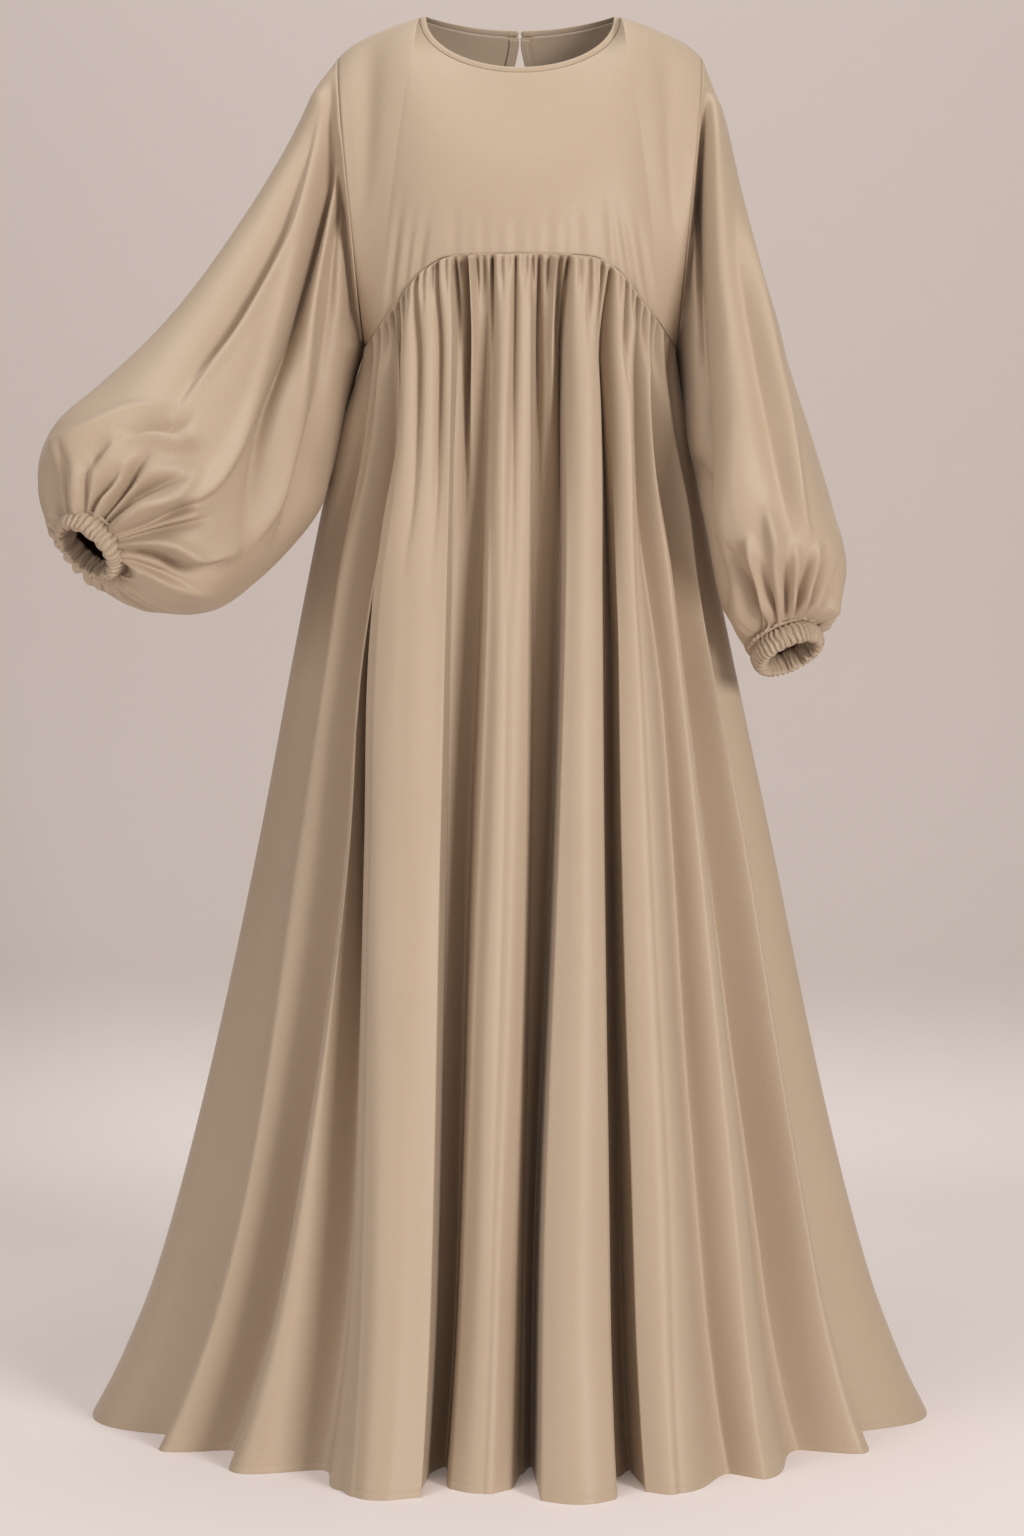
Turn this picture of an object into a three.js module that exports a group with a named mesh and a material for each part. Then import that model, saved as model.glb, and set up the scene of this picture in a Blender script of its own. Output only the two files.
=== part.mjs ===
// A long plain abaya, filled out as when it is worn, as faceted closed cloth walls.
// All lengths are in millimetres. +X is the wearer's left, -Y is the front, +Z is up.
// The origin is midway between the two neck points, where the garment hangs from the wearer.

import * as THREE from "three";

// ---- driving dimensions ----

const CLOTH = 1.5;
const SEAM_GAP = 0.4;
const ARCH_GAP = 0.55;
const SIDE_GAP = 0.2;

// Neckline: half ellipses in front and behind, meeting at the neck points.
const NECK = { halfWidth: 98, frontDepth: 72, frontDrop: 70, backDepth: 68, backRise: 16, backSag: 13.5 };
// How far a line beside the neckline moves out and down, as a share of its distance from it.
const NECK_SLANT = { frontOut: 0.4, frontDown: 0.92, backOut: 0.3, backDown: 0.95 };
const BINDING = {
  width: 6.2,
  thick: 2.4,
  tabThick: 4,
  tabColumns: 2,
  rows: [
    { across: 0, proud: 0.4 },
    { across: 3.1, proud: 0.9 },
    { across: 6.2, proud: 0.4 },
  ],
};
const SHOULDER = { halfWidth: 190, slope: 36, curve: 1.28, tip: 8, neckPoint: 98, chest: 98, blade: 84 };

// Bodice: where the cloth ends at the underarm and how far it stands out in front and behind.
const UNDERARM = { x: 162, z: -349 };
const BUST_DEPTH = 125;
const BACK_DEPTH = 108;
const ARCH_POWER = 2.3;
const ARMHOLE_REACH = { front: 98, back: 86 };

// How far a line of the bodice runs straight out and down as it leaves the shoulder, the neck
// or the tip of the shoulder, and out and up from where it meets the seam.
const LEAVING = { shoulderDown: 12, neckOut: 26, neckDown: 62, tipOut: 0.9, tipDown: 34 };
const ARRIVING = { middleOut: 4, middleUp: 80, sideUp: 24 };

// The arched seam under the bust: its level at each distance from the centre line.
const ARCH = [
  { across: 0, level: -269 },
  { across: 62, level: -270 },
  { across: 79, level: -272 },
  { across: 92, level: -278.5 },
  { across: 106, level: -288 },
  { across: 125, level: -311 },
  { across: 140, level: -327 },
  { across: 152, level: -341 },
  { across: 162, level: -349 },
];

const YOKE_SIDE_COLUMNS = 12;
const YOKE_NECK_COLUMNS = 8;
const NECK_SHARE = YOKE_NECK_COLUMNS / YOKE_SIDE_COLUMNS;
const YOKE_ROWS = [0, 0.1, 0.2, 0.32, 0.45, 0.58, 0.72, 0.86, 1];

const KEYHOLE = {
  topHalf: 0.9,
  maxHalf: 13,
  bottomHalf: 5,
  length: 110,
  facing: 10,
  facingThick: 1,
  clearance: 0.3,
};

// Skirt: half widths on the wearer's right and left, and depths in front and behind, by level.
const HEM_LEVEL = -1451;
const SKIRT_FORM = [
  { level: -269, right: 151, left: 150, front: 125, back: 108 },
  { level: -340, right: 165, left: 160, front: 141, back: 122 },
  { level: -494, right: 201, left: 186, front: 172, back: 150 },
  { level: -651, right: 232, left: 217, front: 206, back: 180 },
  { level: -866, right: 272, left: 262, front: 252, back: 220 },
  { level: -1111, right: 325, left: 312, front: 303, back: 264 },
  { level: -1300, right: 376, left: 360, front: 344, back: 300 },
  { level: -1400, right: 416, left: 397, front: 372, back: 324 },
  { level: -1451, right: 443, left: 422, front: 392, back: 342 },
];
const PLAN_POWER = { seam: 2.3, hem: 1.85 };

// Skirt folds, from the wearer's right side seam to the left one. Each row is one fold line:
// its place across as a share of the half width at six levels, how far it stands out of the
// form at the hem, and the number of gathers sewn in between it and the next line.
const FOLD_LEVELS = { waist: -470, hip: -620, thigh: -865, shin: -1190, hem: HEM_LEVEL };
const FOLD_GROWTH = 0.5;
const FRONT_FOLDS = [
  { seam: -1.0, waist: -1.0, hip: -1.0, thigh: -1.0, shin: -1.0, hem: -1.0, out: 0, gathers: 1 },
  { seam: -0.97, waist: -0.92, hip: -0.905, thigh: -0.9, shin: -0.865, hem: -0.88, out: -34, gathers: 1 },
  { seam: -0.944, waist: -0.888, hip: -0.86, thigh: -0.86, shin: -0.815, hem: -0.822, out: -18, gathers: 2 },
  { seam: -0.841, waist: -0.735, hip: -0.71, thigh: -0.666, shin: -0.675, hem: -0.725, out: -46, gathers: 1 },
  { seam: -0.815, waist: -0.705, hip: -0.69, thigh: -0.625, shin: -0.615, hem: -0.621, out: -10, gathers: 1 },
  { seam: -0.794, waist: -0.69, hip: -0.675, thigh: -0.6, shin: -0.51, hem: -0.506, out: -52, gathers: 1 },
  { seam: -0.77, waist: -0.65, hip: -0.645, thigh: -0.56, shin: -0.455, hem: -0.416, out: -14, gathers: 1 },
  { seam: -0.733, waist: -0.6, hip: -0.59, thigh: -0.516, shin: -0.418, hem: -0.345, out: 15, gathers: 6 },
  { seam: -0.423, waist: -0.357, hip: -0.322, thigh: -0.285, shin: -0.237, hem: -0.208, out: -2, gathers: 1 },
  { seam: -0.349, waist: -0.31, hip: -0.278, thigh: -0.25, shin: -0.225, hem: -0.225, out: -120, gathers: 3 },
  { seam: -0.213, waist: -0.165, hip: -0.145, thigh: -0.15, shin: -0.16, hem: -0.162, out: -38, gathers: 3 },
  { seam: -0.077, waist: -0.063, hip: -0.054, thigh: -0.063, shin: -0.078, hem: -0.088, out: -27, gathers: 3 },
  { seam: 0.066, waist: 0.062, hip: 0.048, thigh: 0.022, shin: -0.003, hem: -0.024, out: -44, gathers: 3 },
  { seam: 0.22, waist: 0.214, hip: 0.177, thigh: 0.11, shin: 0.051, hem: 0.021, out: -128, gathers: 1 },
  { seam: 0.283, waist: 0.252, hip: 0.214, thigh: 0.14, shin: 0.077, hem: 0.046, out: -2, gathers: 3 },
  { seam: 0.432, waist: 0.431, hip: 0.363, thigh: 0.293, shin: 0.238, hem: 0.195, out: 6, gathers: 1 },
  { seam: 0.457, waist: 0.5, hip: 0.455, thigh: 0.375, shin: 0.33, hem: 0.275, out: -96, gathers: 1 },
  { seam: 0.494, waist: 0.525, hip: 0.462, thigh: 0.38, shin: 0.333, hem: 0.285, out: -12, gathers: 2 },
  { seam: 0.609, waist: 0.632, hip: 0.55, thigh: 0.48, shin: 0.42, hem: 0.345, out: 2, gathers: 2 },
  { seam: 0.738, waist: 0.69, hip: 0.655, thigh: 0.6, shin: 0.55, hem: 0.485, out: -40, gathers: 2 },
  { seam: 0.842, waist: 0.77, hip: 0.725, thigh: 0.668, shin: 0.62, hem: 0.547, out: -8, gathers: 1 },
  { seam: 0.875, waist: 0.815, hip: 0.79, thigh: 0.76, shin: 0.73, hem: 0.695, out: -46, gathers: 1 },
  { seam: 0.916, waist: 0.9, hip: 0.86, thigh: 0.855, shin: 0.845, hem: 0.825, out: -12, gathers: 1 },
  { seam: 0.94, waist: 0.945, hip: 0.935, thigh: 0.93, shin: 0.92, hem: 0.92, out: -34, gathers: 2 },
  { seam: 1.0, waist: 1.0, hip: 1.0, thigh: 1.0, shin: 1.0, hem: 1.0, out: 0, gathers: 0 },
];
const BACK_FOLDS = [
  { seam: -1.0, waist: -1.0, hip: -1.0, thigh: -1.0, shin: -1.0, hem: -1.0, out: 0, gathers: 2 },
  { seam: -0.924, waist: -0.905, hip: -0.89, thigh: -0.865, shin: -0.86, hem: -0.85, out: -46, gathers: 2 },
  { seam: -0.84, waist: -0.8, hip: -0.77, thigh: -0.725, shin: -0.715, hem: -0.71, out: -14, gathers: 2 },
  { seam: -0.73, waist: -0.69, hip: -0.65, thigh: -0.6, shin: -0.575, hem: -0.56, out: -66, gathers: 2 },
  { seam: -0.61, waist: -0.57, hip: -0.54, thigh: -0.5, shin: -0.475, hem: -0.46, out: -4, gathers: 3 },
  { seam: -0.43, waist: -0.4, hip: -0.37, thigh: -0.34, shin: -0.315, hem: -0.3, out: 2, gathers: 2 },
  { seam: -0.33, waist: -0.31, hip: -0.28, thigh: -0.255, shin: -0.235, hem: -0.22, out: -92, gathers: 2 },
  { seam: -0.21, waist: -0.2, hip: -0.18, thigh: -0.165, shin: -0.15, hem: -0.14, out: -8, gathers: 3 },
  { seam: -0.02, waist: -0.015, hip: -0.01, thigh: 0.0, shin: 0.005, hem: 0.01, out: 0, gathers: 1 },
  { seam: 0.08, waist: 0.075, hip: 0.07, thigh: 0.065, shin: 0.062, hem: 0.06, out: -84, gathers: 2 },
  { seam: 0.21, waist: 0.2, hip: 0.18, thigh: 0.165, shin: 0.15, hem: 0.14, out: -4, gathers: 3 },
  { seam: 0.4, waist: 0.38, hip: 0.36, thigh: 0.335, shin: 0.32, hem: 0.31, out: -8, gathers: 2 },
  { seam: 0.51, waist: 0.48, hip: 0.45, thigh: 0.415, shin: 0.395, hem: 0.38, out: -78, gathers: 2 },
  { seam: 0.64, waist: 0.6, hip: 0.57, thigh: 0.535, shin: 0.515, hem: 0.5, out: -8, gathers: 2 },
  { seam: 0.76, waist: 0.73, hip: 0.7, thigh: 0.665, shin: 0.65, hem: 0.64, out: -60, gathers: 2 },
  { seam: 0.87, waist: 0.84, hip: 0.82, thigh: 0.795, shin: 0.785, hem: 0.78, out: -16, gathers: 1 },
  { seam: 0.924, waist: 0.915, hip: 0.91, thigh: 0.895, shin: 0.885, hem: 0.88, out: -44, gathers: 2 },
  { seam: 1.0, waist: 1.0, hip: 1.0, thigh: 1.0, shin: 1.0, hem: 1.0, out: 0, gathers: 0 },
];
const SKIRT_TOP_ROWS = [0, 9, 30, 80];
const SKIRT_LOWER_ROWS = [0.18, 0.33, 0.5, 0.67, 0.82, 0.93, 1];
const SKIRT_GATHER = { height: 2.9, rise: 9, fade: 270 };
const SEAM_BLEND = 140;

// Sleeves: each row is one ring between the armhole and the cuff, by its highest and lowest
// point, the depth of its centre line and its half depth.
const RIGHT_RINGS = [
  { topX: -218, topZ: -86, lowX: -182, lowZ: -396, midY: -8, half: 82 },
  { topX: -248, topZ: -148, lowX: -191, lowZ: -444, midY: -26, half: 88 },
  { topX: -285, topZ: -219, lowX: -197, lowZ: -486, midY: -52, half: 92 },
  { topX: -324, topZ: -287, lowX: -203, lowZ: -522, midY: -84, half: 96 },
  { topX: -370, topZ: -353, lowX: -226, lowZ: -559, midY: -120, half: 100 },
  { topX: -416, topZ: -407, lowX: -260, lowZ: -599, midY: -158, half: 102 },
  { topX: -456, topZ: -453, lowX: -294, lowZ: -627, midY: -194, half: 98 },
  { topX: -468, topZ: -498, lowX: -336, lowZ: -631, midY: -220, half: 84 },
  { topX: -459, topZ: -537, lowX: -368, lowZ: -617, midY: -235, half: 62 },
];
const LEFT_RINGS = [
  { topX: 210, topZ: -105, lowX: 175, lowZ: -388, midY: -10, half: 80 },
  { topX: 226, topZ: -181, lowX: 177, lowZ: -430, midY: -28, half: 83 },
  { topX: 242, topZ: -252, lowX: 178, lowZ: -462, midY: -52, half: 86 },
  { topX: 259, topZ: -320, lowX: 179, lowZ: -490, midY: -74, half: 88 },
  { topX: 277, topZ: -388, lowX: 182, lowZ: -518, midY: -92, half: 90 },
  { topX: 297, topZ: -456, lowX: 187, lowZ: -550, midY: -104, half: 90 },
  { topX: 316, topZ: -521, lowX: 192, lowZ: -584, midY: -108, half: 88 },
  { topX: 330, topZ: -580, lowX: 199, lowZ: -618, midY: -108, half: 78 },
  { topX: 325, topZ: -627, lowX: 211, lowZ: -645, midY: -104, half: 60 },
];
// Cuffs: the middle of the hand opening, the way it faces and the side that is uppermost.
const RIGHT_CUFF = { x: -419, y: -250, z: -579, faces: [-0.545, -0.5, -0.673], up: [-0.777, 0, 0.629] };
const LEFT_CUFF = { x: 274, y: -100, z: -674, faces: [0.359, -0.39, -0.847], up: [0.92, 0, 0.39] };
const CUFF = { radius: 34, length: 22, bulge: 2.5, wave: 1.4, gathers: 28, thick: 3 };
const CUFF_ROWS = [0, 0.3, 0.7, 1];

// Long soft folds that fan from the sleeve head: place round the ring in degrees from its
// highest point towards the front, at the shoulder and at the cuff, half width and depth.
const RIGHT_SLEEVE_FOLDS = [
  { shoulder: 14, cuff: 30, spread: 15, deep: 7 },
  { shoulder: 34, cuff: 62, spread: 17, deep: 9 },
  { shoulder: 58, cuff: 98, spread: 18, deep: 9 },
  { shoulder: 92, cuff: 134, spread: 20, deep: 8 },
  { shoulder: 225, cuff: 215, spread: 24, deep: 8 },
  { shoulder: 300, cuff: 285, spread: 26, deep: 9 },
];
const LEFT_SLEEVE_FOLDS = [
  { shoulder: 12, cuff: 20, spread: 15, deep: 6 },
  { shoulder: 36, cuff: 52, spread: 16, deep: 9 },
  { shoulder: 62, cuff: 88, spread: 17, deep: 10 },
  { shoulder: 98, cuff: 126, spread: 18, deep: 9 },
  { shoulder: 230, cuff: 220, spread: 24, deep: 7 },
  { shoulder: 305, cuff: 295, spread: 26, deep: 8 },
];
const SLEEVE_GATHERS = 22;
const SLEEVE_GATHER_HEIGHT = 4;
const SLEEVE_GATHER_ROWS = { starts: 5, full: 9, ends: 0.5 };
const SLEEVE_ROWS = [0, 0.35, 1, 2, 3, 4, 5, 6, 7, 8, 8.7, 9.4, 10];

const FABRIC = { color: 0xb09a7c, roughness: 0.62, metalness: 0 };
const CASING = { color: 0xa8916f, roughness: 0.68, metalness: 0 };

// ---- curves ----

const mix = (a, b, t) => a + (b - a) * t;

function ease(t) {
  const held = Math.min(1, Math.max(0, t));
  return held * held * (3 - 2 * held);
}

// The value of one column of a table at a place along its key column, joined by smooth curves.
function fromTable(rows, key, column, place) {
  const rising = rows[rows.length - 1][key] > rows[0][key];
  const last = rows.length - 2;
  let i = 0;
  while (i < last && (rising ? place > rows[i + 1][key] : place < rows[i + 1][key])) i += 1;
  const before = rows[Math.max(0, i - 1)];
  const start = rows[i];
  const end = rows[i + 1];
  const after = rows[Math.min(rows.length - 1, i + 2)];
  const span = end[key] - start[key];
  const t = Math.min(1, Math.max(0, (place - start[key]) / span));
  const slopeIn = (end[column] - before[column]) / (end[key] - before[key]);
  const slopeOut = (after[column] - start[column]) / (after[key] - start[key]);
  const t2 = t * t;
  const t3 = t2 * t;
  return (
    (2 * t3 - 3 * t2 + 1) * start[column] +
    (t3 - 2 * t2 + t) * span * slopeIn +
    (3 * t2 - 2 * t3) * end[column] +
    (t3 - t2) * span * slopeOut
  );
}

function bezier(start, leaving, arriving, end, t) {
  return new THREE.CubicBezierCurve3(start, leaving, arriving, end).getPoint(t);
}

// ---- cloth walls ----

// Face directions, averaged at each point of a grid of outer points.
function gridNormals(grid, closed) {
  const columns = grid[0].length;
  const normals = grid.map((row) => row.map(() => new THREE.Vector3()));
  const cells = closed ? columns : columns - 1;
  for (let r = 0; r + 1 < grid.length; r += 1) {
    for (let c = 0; c < cells; c += 1) {
      const next = (c + 1) % columns;
      const across = grid[r][next].clone().sub(grid[r + 1][c]);
      const down = grid[r + 1][next].clone().sub(grid[r][c]);
      const face = down.cross(across);
      for (const [i, j] of [[r, c], [r, next], [r + 1, c], [r + 1, next]]) normals[i][j].add(face);
    }
  }
  normals.forEach((row) => row.forEach((normal) => normal.normalize()));
  return normals;
}

// A closed wall of even thickness under a grid of outer points. Rows run down the cloth and
// columns run to the wearer's left, so that the outside is to the front. pin may turn the
// direction of the thickness at an edge, and kept tells which cells are cloth.
function clothWall(grid, options) {
  const { closed = false, thick = () => CLOTH, pin = null, kept = () => true } = options;
  const rows = grid.length;
  const columns = grid[0].length;
  const cells = closed ? columns : columns - 1;
  const normals = gridNormals(grid, closed);
  const positions = [];
  const outer = [];
  const inner = [];
  for (let r = 0; r < rows; r += 1) {
    for (let c = 0; c < columns; c += 1) {
      const normal = pin ? pin(r, c, normals[r][c]) : normals[r][c];
      const inside = grid[r][c].clone().addScaledVector(normal, -thick(r, c));
      outer.push(positions.length / 3);
      positions.push(...grid[r][c].toArray());
      inner.push(positions.length / 3);
      positions.push(...inside.toArray());
    }
  }
  const triangles = [];
  const quad = (a, b, c, d) => triangles.push(a, b, c, a, c, d);
  const isKept = (r, c) => {
    if (r < 0 || r > rows - 2) return false;
    if (!closed && (c < 0 || c > cells - 1)) return false;
    return kept(r, (c + cells) % cells);
  };
  for (let r = 0; r + 1 < rows; r += 1) {
    for (let c = 0; c < cells; c += 1) {
      if (!isKept(r, c)) continue;
      const next = (c + 1) % columns;
      const a = r * columns + c;
      const b = r * columns + next;
      const d = (r + 1) * columns + c;
      const e = (r + 1) * columns + next;
      quad(outer[a], outer[d], outer[e], outer[b]);
      quad(inner[a], inner[b], inner[e], inner[d]);
      if (!isKept(r - 1, c)) quad(outer[a], outer[b], inner[b], inner[a]);
      if (!isKept(r + 1, c)) quad(outer[d], inner[d], inner[e], outer[e]);
      if (!isKept(r, c - 1)) quad(outer[a], inner[a], inner[d], outer[d]);
      if (!isKept(r, c + 1)) quad(outer[b], outer[e], inner[e], inner[b]);
    }
  }
  const geometry = new THREE.BufferGeometry();
  geometry.setAttribute("position", new THREE.Float32BufferAttribute(positions, 3));
  geometry.setIndex(triangles);
  return geometry.toNonIndexed();
}

// ---- neckline and bodice ----

const backLift = (share) => NECK.backRise * share - NECK.backSag * share * share;

// A point of the neckline, or of a line round it farther out. Turn is 0 at the left neck
// point, negative in front and positive behind.
function neckPoint(turn, outward) {
  const side = Math.cos(turn);
  const share = Math.abs(Math.sin(turn));
  const front = turn < 0 && turn > -Math.PI;
  const x = (NECK.halfWidth + outward) * side;
  const shoulderFall = shoulderLevel(NECK.halfWidth + outward) * side * side;
  if (front) {
    const y = -(NECK.frontDepth + outward * NECK_SLANT.frontOut) * share;
    const drop = (NECK.frontDrop + outward * NECK_SLANT.frontDown) * share;
    return new THREE.Vector3(x, y, shoulderFall - drop);
  }
  const y = (NECK.backDepth + outward * NECK_SLANT.backOut) * share;
  return new THREE.Vector3(x, y, shoulderFall + backLift(share) - outward * NECK_SLANT.backDown * share);
}

function neckNormal(turn) {
  const step = 0.01;
  const along = neckPoint(turn + step, 0).sub(neckPoint(turn - step, 0));
  const outward = neckPoint(turn, BINDING.width).sub(neckPoint(turn, 0));
  return outward.cross(along).normalize();
}

function shoulderLevel(across) {
  const length = SHOULDER.halfWidth - SHOULDER.neckPoint;
  const share = Math.max(0, (across - SHOULDER.neckPoint) / length);
  return -SHOULDER.slope * Math.pow(share, SHOULDER.curve) - SHOULDER.tip * Math.pow(share, 8);
}

// The turn round the neckline at which a line of the bodice begins.
function neckTurn(place, side) {
  const swing = ((1 - Math.abs(place) / NECK_SHARE) * Math.PI) / 2;
  return side * (place < 0 ? Math.PI - swing : swing);
}

function archPoint(share, depth) {
  const across = Math.abs(share) * UNDERARM.x;
  const y = depth * Math.pow(Math.max(0, 1 - Math.pow(Math.abs(share), ARCH_POWER)), 1 / ARCH_POWER);
  return new THREE.Vector3(share * UNDERARM.x, y, fromTable(ARCH, "across", "level", across));
}

// One line of cloth from the shoulder or neck down to the arched seam. Place runs from -1 at
// the right armhole to 1 at the left one, side is -1 in front and 1 behind.
function bodiceLine(place, side) {
  const reach = Math.abs(place);
  const sign = Math.sign(place) || 1;
  const depth = side < 0 ? BUST_DEPTH : BACK_DEPTH;
  const bulge = side < 0 ? ARMHOLE_REACH.front : ARMHOLE_REACH.back;
  const seamOffset = side * SIDE_GAP;
  const bottom = archPoint(Math.sin((place * Math.PI) / 2), side * depth);
  bottom.y += seamOffset;
  const edge = ease((reach - NECK_SHARE) / (1 - NECK_SHARE));
  const chest = side < 0 ? SHOULDER.chest : SHOULDER.blade;
  const neckOut = BINDING.width + SEAM_GAP;
  let top;
  let leaving;
  if (reach > NECK_SHARE) {
    const out = (reach - NECK_SHARE) / (1 - NECK_SHARE);
    const across = mix(NECK.halfWidth + neckOut, SHOULDER.halfWidth, out);
    top = new THREE.Vector3(sign * across, seamOffset, shoulderLevel(across));
    const fall = mix(LEAVING.shoulderDown, LEAVING.tipDown, edge);
    leaving = new THREE.Vector3(0, side * mix(chest, bulge * LEAVING.tipOut, edge), -fall);
  } else {
    const turn = neckTurn(place, side);
    top = neckPoint(turn, neckOut);
    top.y += seamOffset * (reach / NECK_SHARE);
    const round = Math.abs(Math.sin(turn));
    const fall = mix(LEAVING.shoulderDown, LEAVING.neckDown, round);
    leaving = new THREE.Vector3(0, side * mix(chest, LEAVING.neckOut, round), -fall);
  }
  const rise = mix(ARRIVING.middleUp, ARRIVING.sideUp, edge);
  const arriving = new THREE.Vector3(0, side * mix(ARRIVING.middleOut, bulge, Math.pow(reach, 3)), rise);
  return { top, leaving: top.clone().add(leaving), arriving: arriving.add(bottom), bottom };
}

function bodicePoint(place, side, down) {
  const line = bodiceLine(place, side);
  return bezier(line.top, line.leaving, line.arriving, line.bottom, down);
}

const archNormal = (point, depth) =>
  new THREE.Vector3(
    (Math.sign(point.x) * Math.pow(Math.abs(point.x / UNDERARM.x), ARCH_POWER - 1)) / UNDERARM.x,
    (Math.sign(point.y) * Math.pow(Math.abs(point.y / depth), ARCH_POWER - 1)) / depth,
    0,
  ).normalize();

// The thickness directions along the edges of a bodice panel, shared by what joins it there.
function bodicePin(grid, places, side) {
  const depth = side < 0 ? BUST_DEPTH : BACK_DEPTH;
  return (r, c, normal) => {
    const turned = normal.clone();
    const place = places[r][c];
    const last = grid.length - 1;
    if (r === last) return archNormal(grid[r][c], depth);
    if (r === 0 && Math.abs(place) < NECK_SHARE - 0.001) return neckNormal(neckTurn(place, side));
    if (r === 0 && Math.abs(place) < NECK_SHARE + 0.001) turned.copy(neckNormal(neckTurn(place, side)));
    if (r === 0) turned.y = 0;
    if (Math.abs(place) === 1) turned.x = Math.sign(place) * Math.max(0, Math.sign(place) * turned.x);
    return turned.normalize();
  };
}

function bodicePanel(side, placesByRow) {
  const grid = YOKE_ROWS.map((down, r) => placesByRow[r].map((place) => bodicePoint(place, side, down)));
  return { grid, places: placesByRow, pin: bodicePin(grid, placesByRow, side) };
}

const evenPlaces = [];
for (let i = -YOKE_SIDE_COLUMNS; i <= YOKE_SIDE_COLUMNS; i += 1) evenPlaces.push(i / YOKE_SIDE_COLUMNS);

function frontYoke() {
  return bodicePanel(-1, YOKE_ROWS.map(() => evenPlaces));
}

// Half the width of the keyhole at a distance below its top.
function keyholeHalf(below) {
  const share = Math.min(1, below / KEYHOLE.length);
  const round = KEYHOLE.maxHalf * Math.sin(Math.PI * Math.pow(share, 1.5));
  return Math.max(share < 0.5 ? KEYHOLE.topHalf : KEYHOLE.bottomHalf, round);
}

// The back panel has two extra lines each side of the centre: the keyhole's edge and the
// edge of its facing. They replace the centre line and run straight below the keyhole.
function backYoke() {
  const top = bodicePoint(0, 1, 0).z;
  const placesByRow = YOKE_ROWS.map((down) => {
    const probe = 0.05;
    const perPlace = bodicePoint(probe, 1, down).x / probe;
    const half = keyholeHalf(top - bodicePoint(0, 1, down).z);
    const edge = half / perPlace;
    const facing = (half + KEYHOLE.facing) / perPlace;
    const outer = evenPlaces.filter((place) => place > 1.5 / YOKE_SIDE_COLUMNS);
    const right = outer.map((place) => -place).reverse();
    return [...right, -facing, -edge, edge, facing, ...outer];
  });
  return bodicePanel(1, placesByRow);
}

function keyholeRows(back) {
  const middle = back.grid[0].length / 2;
  const top = back.grid[0][middle].z;
  return back.grid.filter((row) => top - row[middle].z < KEYHOLE.length).length;
}

// Rows of a back panel run to the wearer's right, so that its outside is to the back.
const turnedOut = (grid) => grid.map((row) => [...row].reverse());

function backWall(back) {
  const columns = back.grid[0].length;
  const slit = keyholeRows(back);
  const kept = (r, c) => !(r < slit && c === columns / 2 - 1);
  const pin = (r, c, normal) => back.pin(r, columns - 1 - c, normal);
  return clothWall(turnedOut(back.grid), { pin, kept });
}

// The facing lies 0.3 mm inside the back panel, along both edges of the keyhole and under it.
function keyholeFacing(back) {
  const columns = back.grid[0].length;
  const slit = keyholeRows(back);
  const outside = turnedOut(back.grid);
  const normals = gridNormals(outside, false);
  const first = columns / 2 - 2;
  const inside = outside.slice(0, slit + 2).map((row, r) =>
    row.slice(first, first + 4).map((point, i) => {
      const c = first + i;
      const normal = back.pin(r, columns - 1 - c, normals[r][c]);
      return point.clone().addScaledVector(normal, -(CLOTH + KEYHOLE.clearance));
    }),
  );
  return clothWall(inside, { thick: () => KEYHOLE.facingThick, kept: (r, c) => !(r < slit && c === 1) });
}

// The neck binding, from the right edge of the keyhole round the front to the left edge. Its
// ends are folded back on themselves into thicker tabs.
function neckBinding() {
  const onNeck = (place) => Math.abs(place) < NECK_SHARE + 0.001;
  const behind = back.places[0].filter(onNeck);
  const middle = behind.length / 2;
  const rightTurns = behind.slice(0, middle).map((place) => neckTurn(place, 1) - 2 * Math.PI);
  const frontTurns = front.places[0].filter(onNeck).map((place) => neckTurn(place, -1));
  const leftTurns = behind.slice(middle).map((place) => neckTurn(place, 1));
  const turns = [...rightTurns.reverse(), ...frontTurns.slice(1, -1), ...leftTurns.reverse()];
  const isTab = (c) => c < BINDING.tabColumns || c >= turns.length - BINDING.tabColumns;
  const grid = BINDING.rows.map(({ across, proud }) =>
    turns.map((turn) => neckPoint(turn, across).addScaledVector(neckNormal(turn), proud)),
  );
  const thick = (r, c) => {
    const swell = BINDING.rows[r].proud - BINDING.rows[0].proud;
    return (isTab(c) ? BINDING.tabThick : BINDING.thick) + swell;
  };
  return clothWall(grid, { thick, pin: (r, c) => neckNormal(turns[c]) });
}

// ---- skirt ----

function planPower(level) {
  const start = SKIRT_FORM[1].level;
  const share = Math.min(1, Math.max(0, (level - start) / (HEM_LEVEL - start)));
  return mix(PLAN_POWER.seam, PLAN_POWER.hem, share);
}

// A point of the smooth form under the folds, and the way it faces, at a share of its width.
function formPoint(share, level, side) {
  const half = fromTable(SKIRT_FORM, "level", share < 0 ? "right" : "left", level);
  const depth = fromTable(SKIRT_FORM, "level", side < 0 ? "front" : "back", level);
  const power = planPower(level);
  const reach = Math.min(1, Math.abs(share));
  const out = Math.pow(Math.max(0, 1 - Math.pow(reach, power)), 1 / power);
  const point = new THREE.Vector3(share * half, side * depth * out, level);
  const slopeX = (Math.sign(share) * Math.pow(reach, power - 1)) / half;
  const slopeY = (side * Math.pow(out, power - 1)) / depth;
  return { point, facing: new THREE.Vector3(slopeX, slopeY, 0).normalize() };
}

// Each column of cloth lies between two fold lines. Columns are ridges and valleys of the
// gathers by turns.
function skirtColumns(folds) {
  const columns = [];
  folds.forEach((fold, i) => {
    const count = Math.max(1, 2 * fold.gathers);
    for (let j = 0; j < count; j += 1) columns.push({ from: i, part: j / count });
  });
  columns.forEach((column, c) => {
    column.wave = c % 2 === 0 ? -0.5 : 0.5;
  });
  return columns;
}

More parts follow.
